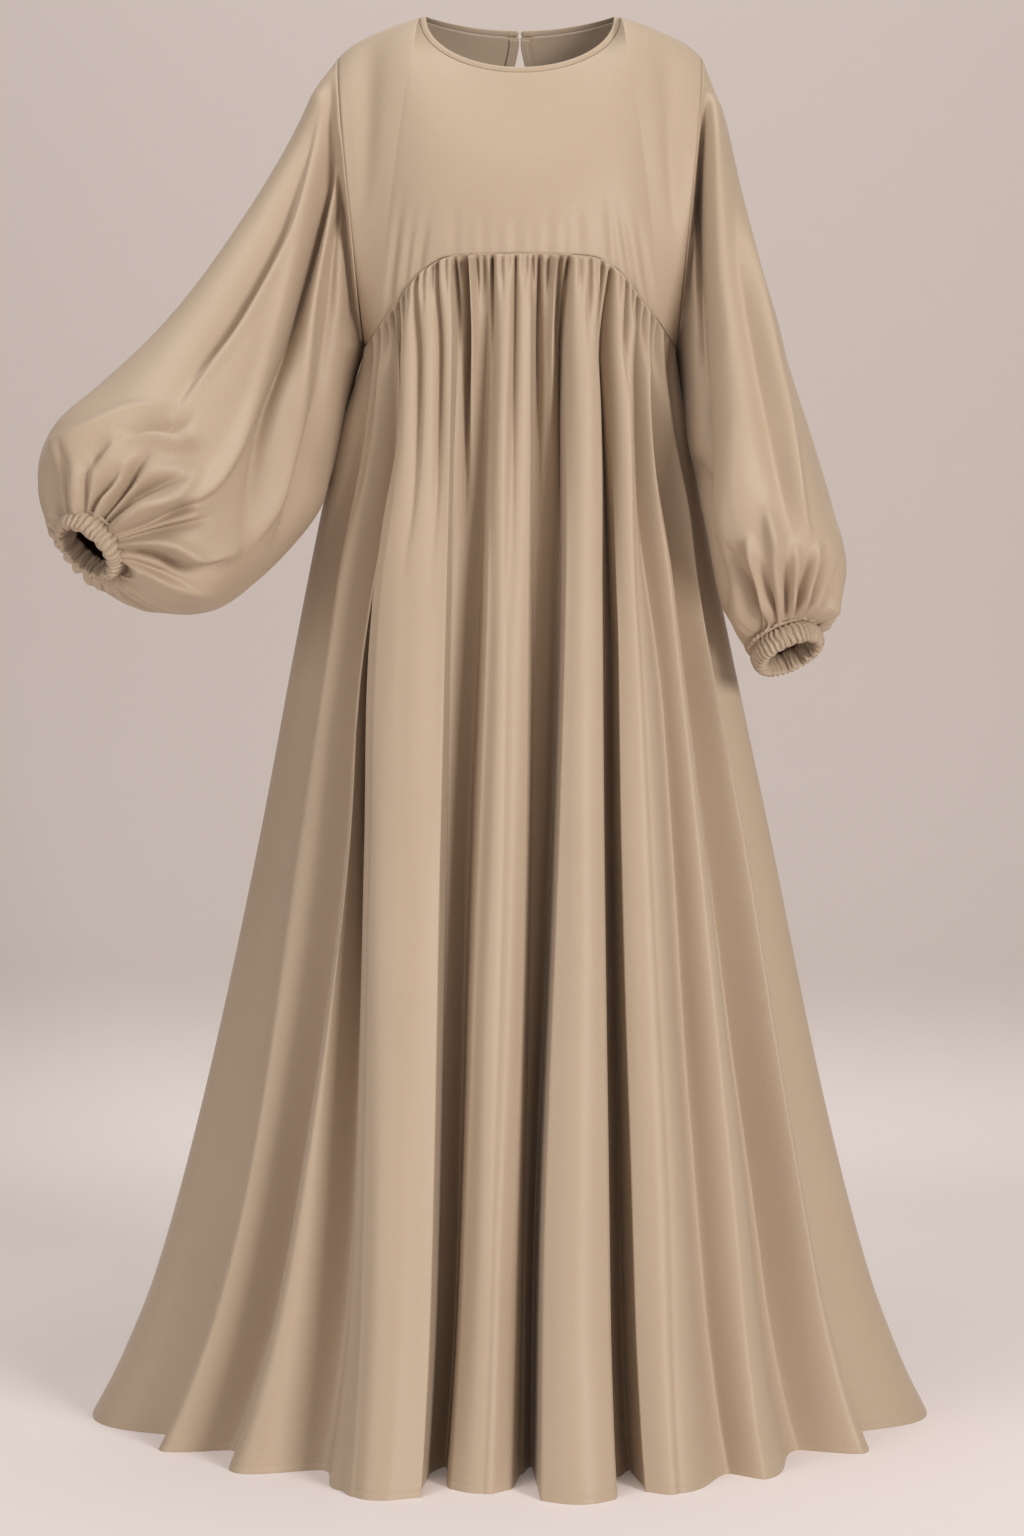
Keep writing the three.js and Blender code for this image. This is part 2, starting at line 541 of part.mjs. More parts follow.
function foldShare(fold, level) {
  const line = [
    { level: archPoint(fold.seam, 1).z, share: fold.seam },
    ...Object.entries(FOLD_LEVELS).map(([name, below]) => ({ level: below, share: fold[name] })),
  ];
  return fromTable(line, "level", "share", level);
}

// The place on the lower edge of a bodice panel at a share of its width.
function seamPoint(panel, share) {
  const edge = panel.grid[panel.grid.length - 1];
  let i = 0;
  while (i < edge.length - 2 && edge[i + 1].x < share * UNDERARM.x) i += 1;
  const part = (share * UNDERARM.x - edge[i].x) / (edge[i + 1].x - edge[i].x);
  const point = edge[i].clone().lerp(edge[i + 1], Math.min(1, Math.max(0, part)));
  const along = edge[i + 1].clone().sub(edge[i]);
  point.z -= ARCH_GAP * Math.hypot(1, along.z / Math.hypot(along.x, along.y));
  return point;
}

function skirtPoint(folds, column, panel, side, below) {
  const start = folds[column.from];
  const end = folds[Math.min(folds.length - 1, column.from + 1)];
  const seamShare = Math.sin(mix(Math.asin(start.seam), Math.asin(end.seam), column.part));
  const seam = seamPoint(panel, seamShare);
  const level = below < 1 ? mix(seam.z, HEM_LEVEL, below) : seam.z - below;
  const onForm = (height) => {
    const share = mix(foldShare(start, height), foldShare(end, height), column.part);
    const { point, facing } = formPoint(share, height, side);
    const growth = Math.pow((seam.z - height) / (seam.z - HEM_LEVEL), FOLD_GROWTH);
    point.addScaledVector(facing, mix(start.out, end.out, ease(column.part)) * growth);
    point.y += side * SIDE_GAP;
    return { point, facing };
  };
  const { point, facing } = onForm(level);
  const drop = seam.z - level;
  const settle = 1 - ease(drop / SEAM_BLEND);
  point.addScaledVector(seam.clone().sub(onForm(seam.z).point), settle);
  const edge = Math.abs(seamShare) === 1 ? 0 : 1;
  const rise = ease(drop / SKIRT_GATHER.rise);
  const fade = 1 - ease((drop - SKIRT_GATHER.rise) / SKIRT_GATHER.fade);
  return point.addScaledVector(facing, edge * column.wave * SKIRT_GATHER.height * rise * fade);
}

function skirtPanel(folds, panel, side) {
  const columns = skirtColumns(folds);
  const rows = [...SKIRT_TOP_ROWS, ...SKIRT_LOWER_ROWS];
  const grid = rows.map((below) => {
    const part = below <= 1 && below > 0 ? Math.min(below, 1 - 1e-9) : below;
    return columns.map((column) => skirtPoint(folds, column, panel, side, part));
  });
  const depth = side < 0 ? BUST_DEPTH : BACK_DEPTH;
  const pin = (r, c, normal) => {
    if (c === 0 || c === columns.length - 1) return new THREE.Vector3(c === 0 ? -1 : 1, 0, 0);
    return r === 0 ? archNormal(grid[r][c], depth) : normal;
  };
  if (side < 0) return clothWall(grid, { pin });
  return clothWall(turnedOut(grid), { pin: (r, c, normal) => pin(r, columns.length - 1 - c, normal) });
}

// ---- sleeves and cuffs ----

function cuffFrame(cuff) {
  const faces = new THREE.Vector3(...cuff.faces).normalize();
  const up = new THREE.Vector3(...cuff.up).normalize();
  const front = faces.clone().cross(up).normalize();
  if (front.y > 0) front.negate();
  const opening = new THREE.Vector3(cuff.x, cuff.y, cuff.z);
  return { faces, up, front, joint: opening.addScaledVector(faces, -CUFF.length) };
}

// Turns round a sleeve are counted from its uppermost line towards the front.
function roundPoint(centre, up, front, turn) {
  return centre.clone().addScaledVector(up, Math.cos(turn)).addScaledVector(front, Math.sin(turn));
}

// A point of a sleeve ring, counted from 1, because 0 is the armhole. Rings face forward near
// the armhole and turn with the cuff below.
function ringPoint(rings, index, turn, cuffFront) {
  const base = Math.min(rings.length - 2, Math.floor(index) - 1);
  const value = (name) => mix(rings[base][name], rings[base + 1][name], index - 1 - base);
  const top = new THREE.Vector3(value("topX"), value("midY"), value("topZ"));
  const low = new THREE.Vector3(value("lowX"), value("midY"), value("lowZ"));
  const up = top.clone().sub(low).multiplyScalar(0.5);
  const centre = top.add(low).multiplyScalar(0.5);
  const front = new THREE.Vector3(0, -1, 0).lerp(cuffFront, ease((index - 2) / (rings.length - 1)));
  return roundPoint(centre, up, front.normalize().multiplyScalar(value("half")), turn);
}

// The armhole's edge, followed along the straight stretches between the bodice's rows.
function armholePoint(sign, turn) {
  const ahead = turn <= Math.PI;
  const down = (ahead ? turn : 2 * Math.PI - turn) / Math.PI;
  const grid = (ahead ? front : back).grid;
  const edge = grid.map((row) => (sign < 0 ? row[0] : row[row.length - 1]));
  let i = 0;
  while (i < edge.length - 2 && YOKE_ROWS[i + 1] < down) i += 1;
  const part = (down - YOKE_ROWS[i]) / (YOKE_ROWS[i + 1] - YOKE_ROWS[i]);
  const point = edge[i].clone().lerp(edge[i + 1], part);
  point.x += sign * SEAM_GAP;
  return point;
}

function sleeveOffset(folds, turn, along) {
  const degrees = THREE.MathUtils.radToDeg(turn);
  const strength = Math.sin(Math.PI * Math.pow(along, 0.75));
  let offset = 0;
  for (const { shoulder, cuff, spread, deep } of folds) {
    const centre = mix(shoulder, cuff, along);
    const away = Math.abs(((degrees - centre + 540) % 360) - 180) / spread;
    if (away < 1) offset -= deep * strength * Math.pow(Math.cos((away * Math.PI) / 2), 2);
  }
  return offset;
}

function sleeve(sign, rings, cuff, folds) {
  const frame = cuffFrame(cuff);
  const columns = 2 * SLEEVE_GATHERS;
  const last = rings.length + 1;
  const turns = [];
  for (let c = 0; c < columns; c += 1) {
    const place = (sign < 0 ? c : columns - c) % columns;
    turns.push((place * 2 * Math.PI) / columns);
  }
  const joint = frame.joint.clone().addScaledVector(frame.faces, -SEAM_GAP);
  const jointUp = frame.up.clone().multiplyScalar(CUFF.radius);
  const jointFront = frame.front.clone().multiplyScalar(CUFF.radius);
  const place = (index, turn) => {
    if (index < 1) return armholePoint(sign, turn).lerp(ringPoint(rings, 1, turn, frame.front), index);
    if (index <= last - 1) return ringPoint(rings, index, turn, frame.front);
    const end = roundPoint(joint, jointUp, jointFront, turn);
    return ringPoint(rings, last - 1, turn, frame.front).lerp(end, index - last + 1);
  };
  const grid = SLEEVE_ROWS.map((index) => {
    const ring = turns.map((turn) => place(index, turn));
    const centre = ring.reduce((sum, point) => sum.add(point), new THREE.Vector3()).divideScalar(columns);
    const { starts, full, ends } = SLEEVE_GATHER_ROWS;
    const gathered = ease((index - starts) / (full - starts)) * ease((last - index) / ends);
    return ring.map((point, c) => {
      const wave = (c % 2 === 0 ? 0.5 : -0.5) * SLEEVE_GATHER_HEIGHT * gathered;
      const out = point.clone().sub(centre).normalize();
      return point.addScaledVector(out, wave + sleeveOffset(folds, turns[c], index / last));
    });
  });
  const pin = (r, c, normal) => {
    if (r === 0) return normal.clone().setX(0).normalize();
    if (r < grid.length - 1) return normal;
    return grid[r][c].clone().sub(joint).normalize();
  };
  return clothWall(grid, { closed: true, pin });
}

function cuffBand(sign, cuff) {
  const frame = cuffFrame(cuff);
  const columns = 2 * CUFF.gathers;
  const centre = (part) => frame.joint.clone().addScaledVector(frame.faces, CUFF.length * part);
  const grid = CUFF_ROWS.map((part) => {
    const ring = [];
    for (let c = 0; c < columns; c += 1) {
      const turn = (sign < 0 ? c : columns - c) * ((2 * Math.PI) / columns);
      const wave = (c % 2 === 0 ? 1 : -1) * CUFF.wave;
      const radius = CUFF.radius + CUFF.bulge * Math.sin(Math.PI * part) + wave;
      const up = frame.up.clone().multiplyScalar(radius);
      ring.push(roundPoint(centre(part), up, frame.front.clone().multiplyScalar(radius), turn));
    }
    return ring;
  });
  const pin = (r, c, normal) => {
    const isEdge = r === 0 || r === grid.length - 1;
    return isEdge ? grid[r][c].clone().sub(centre(CUFF_ROWS[r])).normalize() : normal;
  };
  return clothWall(grid, { closed: true, thick: () => CUFF.thick, pin });
}

// ---- the garment ----

const group = new THREE.Group();

function add(name, geometry, look) {
  const mesh = new THREE.Mesh(geometry, new THREE.MeshStandardMaterial(look));
  mesh.name = name;
  group.add(mesh);
}

const front = frontYoke();
const back = backYoke();
add("yoke_front", clothWall(front.grid, { pin: front.pin }), FABRIC);
add("yoke_back", backWall(back), FABRIC);
add("keyhole_facing", keyholeFacing(back), FABRIC);
add("neck_binding", neckBinding(), CASING);
add("skirt_front", skirtPanel(FRONT_FOLDS, front, -1), FABRIC);
add("skirt_back", skirtPanel(BACK_FOLDS, back, 1), FABRIC);
add("sleeve_right", sleeve(-1, RIGHT_RINGS, RIGHT_CUFF, RIGHT_SLEEVE_FOLDS), FABRIC);
add("sleeve_left", sleeve(1, LEFT_RINGS, LEFT_CUFF, LEFT_SLEEVE_FOLDS), FABRIC);
add("cuff_right", cuffBand(-1, RIGHT_CUFF), CASING);
add("cuff_left", cuffBand(1, LEFT_CUFF), CASING);

export default group;
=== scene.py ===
"""A long abaya with an arched gathered seam, full sleeves and ruched cuffs, as an add-on.

Lengths in the tables are millimetres, the finished pieces are in metres. +X is the
wearer's left, -Y is the front, +Z is up, and the origin is between the neck points.
"""

import math

import bmesh
import bpy
from bpy.props import FloatProperty, FloatVectorProperty, IntProperty, PointerProperty
from bpy.types import Operator, Panel, PropertyGroup
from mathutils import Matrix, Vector, noise


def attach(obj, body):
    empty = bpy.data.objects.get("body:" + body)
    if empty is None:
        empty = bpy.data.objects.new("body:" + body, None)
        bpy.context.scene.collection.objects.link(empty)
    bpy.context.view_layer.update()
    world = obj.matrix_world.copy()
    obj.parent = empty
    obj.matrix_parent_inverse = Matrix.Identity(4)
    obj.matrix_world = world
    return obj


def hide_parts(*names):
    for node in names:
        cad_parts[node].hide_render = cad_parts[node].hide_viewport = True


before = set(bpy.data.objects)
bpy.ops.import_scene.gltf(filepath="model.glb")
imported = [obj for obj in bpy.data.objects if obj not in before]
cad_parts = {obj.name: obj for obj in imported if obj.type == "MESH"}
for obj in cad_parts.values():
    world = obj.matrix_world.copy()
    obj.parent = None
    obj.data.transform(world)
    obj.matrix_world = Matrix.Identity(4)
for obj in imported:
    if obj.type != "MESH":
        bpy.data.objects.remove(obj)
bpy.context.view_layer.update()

bl_info = {
    "name": "Abaya",
    "version": (1, 0, 0),
    "blender": (4, 5, 0),
    "location": "View3D > Sidebar > Abaya",
    "description": "A long abaya with a gathered skirt, full sleeves and ruched cuffs",
    "category": "Object",
}

MM = 0.001


def named_rows(columns, rows):
    """A table's rows, with each value under the name of its column."""
    return [dict(zip(columns, row)) for row in rows]


# ---- the cut: the same forms as the solids, in millimetres ----

NECK = {"half_width": 98, "front_depth": 72, "front_drop": 70, "back_depth": 68, "nape": 16, "nape_dip": 13.5}

# How far each millimetre outward from the neckline moves a point forward and down.
NECK_SPREAD = {"front": 0.4, "front_down": 0.92, "back": 0.3, "back_down": 0.95}
BINDING_WIDTH = 6.2
SEAM_GAP = 0.4
SIDE_GAP = 0.2
SHOULDER = {"half_width": 190, "slope": 36, "bend": 1.28, "tip": 8, "tip_bend": 8, "chest": 98, "blade": 84}
UNDERARM = 162
BUST_DEPTH = 125
BACK_DEPTH = 108
ARCH_POWER = 2.3
ARMHOLE_REACH = {-1: 98, 1: 86}
NECK_SHARE = 8 / 12
HEM_LEVEL = -1451

# The arched seam under the bust: its level at each distance from the centre line.
ARCH = named_rows(("across", "level"), (
    (0, -269), (62, -270), (79, -272), (92, -278.5), (106, -288),
    (125, -311), (140, -327), (152, -341), (162, -349),
))

KEYHOLE = {"top_half": 0.9, "max_half": 13, "length": 110, "facing": 10}

# The skirt's half widths on the wearer's right and left and its depths, by level.
SKIRT_FORM = named_rows(("level", "right", "left", "front", "back"), (
    (-269, 151, 150, 125, 108),
    (-340, 165, 160, 141, 122),
    (-494, 201, 186, 172, 150),
    (-651, 232, 217, 206, 180),
    (-866, 272, 262, 252, 220),
    (-1111, 325, 312, 303, 264),
    (-1300, 376, 360, 344, 300),
    (-1400, 416, 397, 372, 324),
    (-1451, 443, 422, 392, 342),
))
PLAN_POWER = {"seam": 2.3, "hem": 1.85}
SEAM_BLEND = 95

# Skirt folds from the wearer's right side seam to the left one: the place of each fold line
# as a share of the half width at six levels, how far it stands out at the hem, and the crown
# of the cloth between it and the next line.
FOLD_GROWTH = 0.5
FOLD_LEVELS = {"waist": -470, "hip": -620, "thigh": -865, "shin": -1190, "hem": -1451}
FOLD_COLUMNS = ("seam", *FOLD_LEVELS, "out", "crown")
FRONT_FOLDS = named_rows(FOLD_COLUMNS, (
    (-1.0, -1.0, -1.0, -1.0, -1.0, -1.0, 0, 10),
    (-0.94, -0.93, -0.92, -0.915, -0.89, -0.88, -58, 0),
    (-0.91, -0.888, -0.86, -0.855, -0.81, -0.822, -14, 6),
    (-0.84, -0.8, -0.79, -0.755, -0.745, -0.745, -68, 0),
    (-0.812, -0.71, -0.695, -0.625, -0.615, -0.621, -8, 3),
    (-0.79, -0.75, -0.735, -0.66, -0.545, -0.49, -62, 0),
    (-0.765, -0.66, -0.65, -0.55, -0.447, -0.385, -4, 0),
    (-0.73, -0.6, -0.59, -0.51, -0.412, -0.335, 14, 12),
    (-0.435, -0.357, -0.32, -0.284, -0.237, -0.207, -2, 0),
    (-0.415, -0.392, -0.362, -0.335, -0.29, -0.252, -90, 0),
    (-0.215, -0.225, -0.225, -0.255, -0.245, -0.232, -118, 0),
    (-0.17, -0.16, -0.148, -0.158, -0.163, -0.16, -38, 5),
    (-0.05, -0.063, -0.06, -0.064, -0.08, -0.085, -25, 5),
    (0.065, 0.055, 0.04, 0.018, -0.01, -0.027, -42, 0),
    (0.09, 0.085, 0.07, 0.055, 0.02, 0.0, -100, 0),
    (0.285, 0.285, 0.245, 0.165, 0.077, 0.045, -130, 0),
    (0.315, 0.257, 0.208, 0.137, 0.068, 0.042, -2, 14),
    (0.49, 0.43, 0.362, 0.292, 0.237, 0.195, 6, 0),
    (0.51, 0.51, 0.455, 0.375, 0.315, 0.262, -72, 0),
    (0.56, 0.595, 0.545, 0.46, 0.393, 0.328, -94, 0),
    (0.585, 0.54, 0.468, 0.383, 0.327, 0.28, -14, 8),
    (0.71, 0.632, 0.55, 0.478, 0.42, 0.343, 2, 4),
    (0.755, 0.74, 0.7, 0.635, 0.57, 0.515, -42, 2),
    (0.82, 0.778, 0.735, 0.675, 0.627, 0.55, -4, 0),
    (0.85, 0.89, 0.875, 0.85, 0.83, 0.755, -66, 6),
    (0.915, 0.925, 0.882, 0.878, 0.852, 0.81, -8, 0),
    (0.945, 0.965, 0.95, 0.945, 0.935, 0.915, -50, 6),
    (1.0, 1.0, 1.0, 1.0, 1.0, 1.0, 0, 0),
))
BACK_FOLDS = named_rows(FOLD_COLUMNS, (
    (-1.0, -1.0, -1.0, -1.0, -1.0, -1.0, 0, 8),
    (-0.924, -0.915, -0.905, -0.89, -0.885, -0.87, -60, 4),
    (-0.84, -0.8, -0.77, -0.725, -0.715, -0.71, -12, 8),
    (-0.73, -0.7, -0.66, -0.62, -0.595, -0.58, -82, 0),
    (-0.61, -0.57, -0.54, -0.5, -0.475, -0.46, -4, 10),
    (-0.43, -0.4, -0.37, -0.34, -0.315, -0.3, 2, 0),
    (-0.33, -0.33, -0.3, -0.275, -0.25, -0.235, -104, 0),
    (-0.21, -0.2, -0.18, -0.165, -0.15, -0.14, -8, 13),
    (-0.02, -0.015, -0.01, 0.0, 0.005, 0.01, 0, 0),
    (0.08, 0.075, 0.07, 0.065, 0.062, 0.06, -96, 0),
    (0.21, 0.2, 0.18, 0.165, 0.15, 0.14, -4, 12),
    (0.4, 0.38, 0.36, 0.335, 0.32, 0.31, -8, 0),
    (0.51, 0.49, 0.46, 0.425, 0.405, 0.39, -92, 0),
    (0.64, 0.6, 0.57, 0.535, 0.515, 0.5, -8, 9),
    (0.76, 0.74, 0.71, 0.68, 0.665, 0.655, -78, 0),
    (0.87, 0.84, 0.82, 0.795, 0.785, 0.78, -14, 4),
    (0.924, 0.92, 0.915, 0.905, 0.895, 0.89, -56, 5),
    (1.0, 1.0, 1.0, 1.0, 1.0, 1.0, 0, 0),
))

# Gathers sewn into the arched seam: where each valley starts along it, how deep it is and how
# far down it can be followed. A negative depth is a ridge in the bottom of a large fold.
GATHER_COLUMNS = ("across", "deep", "long")
FRONT_GATHERS = named_rows(GATHER_COLUMNS, (
    (-155, 2.8, 70), (-146.5, 4.2, 200), (-140, 2.4, 45), (-133, 5.5, 330), (-125.5, 4.6, 170),
    (-118.5, 3.2, 55), (-112, 2.0, 30), (-104, 3.0, 270), (-96, 1.7, 38), (-89, 2.0, 42),
    (-84, 3.2, 280), (-74.5, 1.5, 36), (-66.5, 2.7, 75), (-59.5, 1.3, 25), (-55.5, 4.2, 240),
    (-49.5, -3.2, 190), (-44.5, 1.9, 40), (-37, 2.2, 44), (-28.5, 4.2, 260), (-18, 1.5, 38),
    (-11, 1.3, 26), (-4.5, 3.2, 310), (2, 1.2, 26), (6.5, 1.6, 34), (12.5, 2.1, 46),
    (19.5, 4.2, 260), (29.5, 1.7, 38), (34.5, -3.0, 150), (41, 3.2, 85), (49.5, 4.2, 250),
    (60, 1.6, 38), (70.5, 2.3, 75), (77, 1.3, 28), (83.5, 2.9, 110), (93.5, 4.4, 300),
    (101.5, 1.5, 32), (108.5, 3.6, 90), (115, 2.2, 30), (121.5, 4.8, 320), (128.5, 2.8, 50),
    (136, 4.8, 210), (143, 2.6, 60), (150, 3.8, 150), (156.5, 2.2, 60),
))
GATHER = {
    "puff": 4.4, "puff_start": 20, "puff_fade": 240, "rise": 5, "width": 1.7, "widening": 0.02,
    "deepening": 4.6, "more": 0.6, "settled": 150, "tuck": 0.6, "tuck_fade": 3,
}
UNDULATION = {"height": 2.4, "grown": 220, "across": 13.0, "down": 330.0}

# Rows of each skirt panel, in millimetres: the drops below the seam near its top and the
# heights above the hem at its end. The rows between them are evenly spread.
SKIRT_TOP_DROPS = [0, 0.8, 1.8, 3, 4.5, 6.5, 9, 12, 16, 21, 27, 34, 42, 52, 63, 76]
SKIRT_HEM_HEIGHTS = [16, 11, 8.5, 7.4, 6.6, 5.8, 4, 2, 0.8, 0]

# The cloth of a skirt panel in its UV map, in metres.
CUT_WIDTH = 1.9
CUT_LENGTH = 1.18

# Soft creases of the bodice: where each starts, how it runs, its depth and its width.
BODICE_CREASE_COLUMNS = ("place", "top", "end", "drift", "deep", "wide")
FRONT_CREASES = named_rows(BODICE_CREASE_COLUMNS, (
    (-0.62, 0.62, 1.0, -0.06, 3.4, 5),
    (-0.52, 0.7, 1.0, -0.05, 2.4, 4),
    (-0.44, 0.74, 1.0, -0.05, 2.8, 4),
    (-0.27, 0.72, 1.0, 0.0, 2.4, 3.6),
    (-0.21, 0.8, 1.0, 0.0, 1.6, 3),
    (-0.15, 0.76, 1.0, 0.0, 2.0, 3.2),
    (-0.09, 0.82, 1.0, 0.0, 1.6, 2.8),
    (-0.02, 0.78, 1.0, 0.0, 2.2, 3.4),
    (0.05, 0.83, 1.0, 0.0, 1.5, 2.8),
    (0.11, 0.76, 1.0, 0.0, 2.2, 3.4),
    (0.18, 0.8, 1.0, 0.0, 1.6, 3),
    (0.24, 0.75, 1.0, 0.01, 2.3, 3.6),
    (0.4, 0.66, 1.0, 0.03, 3.2, 4.2),
    (0.5, 0.66, 1.0, 0.09, 3.6, 4.6),
    (0.62, 0.7, 1.0, 0.08, 3.1, 5),
    (-0.86, 0.05, 0.6, 0.02, 4.6, 9),
    (0.84, 0.12, 0.66, -0.02, 4.0, 8),
))
BACK_CREASES = named_rows(BODICE_CREASE_COLUMNS, (
    (-0.6, 0.66, 1.0, -0.05, 3.0, 5),
    (-0.4, 0.74, 1.0, -0.02, 2.4, 4),
    (-0.24, 0.78, 1.0, 0.0, 2.0, 3.4),
    (-0.1, 0.8, 1.0, 0.0, 1.8, 3),
    (0.13, 0.77, 1.0, 0.0, 2.0, 3.4),
    (0.3, 0.75, 1.0, 0.01, 2.4, 4),
    (0.52, 0.68, 1.0, 0.05, 3.2, 5),
    (-0.85, 0.1, 0.6, 0.02, 4.0, 9),
    (0.86, 0.08, 0.62, -0.02, 4.4, 9),
))

# Sleeves: each row is one ring between the armhole and the cuff, by its highest and lowest
# point, the depth of its centre line and its half depth. The first one is the armhole's and
# only steers the slope of the next ones.
RING_COLUMNS = ("top_x", "top_z", "low_x", "low_z", "mid_y", "half")
RIGHT_RINGS = named_rows(RING_COLUMNS, (
    (-190, -44, -162, -349, 0, 76),
    (-218, -86, -175.5, -396, -8, 82),
    (-248, -148, -184.5, -444, -26, 88),
    (-285, -219, -194, -486, -52, 92),
    (-324, -287, -203, -522, -84, 96),
    (-370, -353, -226, -559, -120, 100),
    (-416, -407, -260, -599, -158, 102),
    (-456, -453, -294, -627, -194, 98),
    (-468, -498, -336, -631, -220, 84),
    (-459, -537, -368, -617, -235, 62),
))
LEFT_RINGS = named_rows(RING_COLUMNS, (
    (190, -44, 162, -349, 0, 76),
    (210, -105, 168, -388, -10, 80),
    (226, -181, 170.5, -430, -28, 83),
    (242, -252, 174, -462, -52, 86),
    (259, -320, 179, -490, -74, 88),
    (277, -388, 182, -518, -92, 90),
    (297, -456, 187, -550, -104, 90),
    (316, -521, 192, -584, -108, 88),
    (330, -580, 199, -618, -108, 78),
    (325, -627, 211, -645, -104, 60),
))
RIGHT_CUFF = {"opening": (-419, -250, -579), "faces": (-0.545, -0.5, -0.673), "up": (-0.777, 0, 0.629)}
LEFT_CUFF = {"opening": (274, -100, -674), "faces": (0.359, -0.39, -0.847), "up": (0.92, 0, 0.39)}
CUFF = {
    "radius": 34, "length": 22, "bulge": 2.5, "inner_bulge": 0.2, "thick": 3.4, "casing": 1.2,
    "outer_ruching": 3.5, "inner_ruching": 2.0, "ruffle": 4.0, "edge_ruching": 1.2,
}
PINCH = {"height": 2.6, "long": 34}
SLEEVE_WANDER = 4.0

# Creases of the front of each sleeve: how far one stands out (a valley is negative), its half
# width, how much wider it is on the wearer's left than on the right, the shares of its length
# over which it rises and fades, and the way it runs as (x, z) places seen from the front.
CREASE_COLUMNS = ("out", "wide", "lean", "rise", "fade", "way")
RIGHT_CREASES = named_rows(CREASE_COLUMNS, (
    (-27, 16, -0.5, 0.4, 0.35, ((-205, -90), (-217, -122), (-245, -237),
                                (-281, -327), (-313, -391), (-342, -462))),
    (6, 9, -0.3, 0.4, 0.3, ((-208, -110), (-231, -235), (-264, -322), (-297, -388), (-330, -440))),
    (-46, 10, -0.15, 0.15, 0.35, ((-193, -67), (-197, -130), (-202, -189), (-211, -255), (-223, -320),
                                  (-235, -385), (-248, -450), (-259, -530), (-275, -580))),
    (17, 7, -0.45, 0.35, 0.15, ((-204, -113), (-214, -191), (-227, -288), (-245, -382),
                                (-257, -432), (-275, -481), (-299, -519), (-333, -540))),
    (13, 6, -0.35, 0.3, 0.25, ((-185, -86), (-187, -119), (-193, -216), (-206, -313), (-211, -376),
                               (-217, -443), (-229, -497), (-244, -539), (-279, -590))),
    (-26, 8, 0.0, 0.1, 0.3, ((-184, -120), (-188, -216), (-192, -313), (-198, -379),
                             (-205, -443), (-224, -525), (-250, -580))),
    (6, 7, 0.0, 0.2, 0.4, ((-180, -250), (-185, -340), (-190, -400), (-199, -460), (-212, -520))),
    (-36, 6.5, 0.0, 0.3, 0.05, ((-180, -170), (-177, -240), (-173, -310), (-170, -350))),
    (12, 11, 0.0, 0.35, 0.15, ((-333, -434), (-374, -449), (-419, -471), (-457, -487))),
    (-18, 9, 0.0, 0.3, 0.3, ((-311, -445), (-346, -460), (-389, -478), (-425, -502))),
    (18, 8, 0.0, 0.2, 0.25, ((-306, -472), (-332, -475), (-357, -470), (-385, -476), (-402, -500))),
    (14, 7, 0.0, 0.3, 0.1, ((-304, -495), (-331, -530), (-361, -540), (-383, -553))),
    (11, 6, 0.0, 0.4, 0.1, ((-296, -540), (-337, -551), (-381, -562))),
    (17, 8, 0.0, 0.3, 0.1, ((-264, -559), (-302, -586), (-338, -574), (-375, -573))),
    (12, 8, 0.0, 0.4, 0.1, ((-290, -622), (-339, -606), (-379, -590))),
    (-24, 5.5, 0.0, 0.4, 0.0, ((-449, -485), (-455, -509), (-446, -545))),
    (-25, 5, 0.0, 0.4, 0.0, ((-436, -478), (-440, -513), (-438, -548))),
    (-25, 5, 0.0, 0.4, 0.0, ((-412, -488), (-417, -521), (-428, -550))),
    (-30, 6, 0.0, 0.4, 0.0, ((-377, -496), (-400, -516), (-418, -546))),
    (-31, 6, 0.0, 0.35, 0.0, ((-353, -480), (-370, -507), (-386, -528), (-405, -548))),
    (-31, 7, 0.0, 0.35, 0.0, ((-313, -508), (-354, -519), (-383, -543), (-396, -553))),
    (-33, 6, 0.0, 0.35, 0.0, ((-309, -530), (-329, -546), (-355, -556), (-388, -562))),
    (-24, 4.5, 0.0, 0.35, 0.0, ((-292, -546), (-330, -560), (-363, -567), (-388, -569))),
    (-31, 7, 0.0, 0.3, 0.0, ((-277, -573), (-311, -596), (-331, -587), (-355, -580), (-388, -578))),
    (-26, 6, 0.0, 0.35, 0.0, ((-300, -618), (-333, -604), (-356, -594), (-390, -587))),
    (-22, 5, 0.0, 0.4, 0.0, ((-350, -626), (-373, -611), (-396, -596))),
))
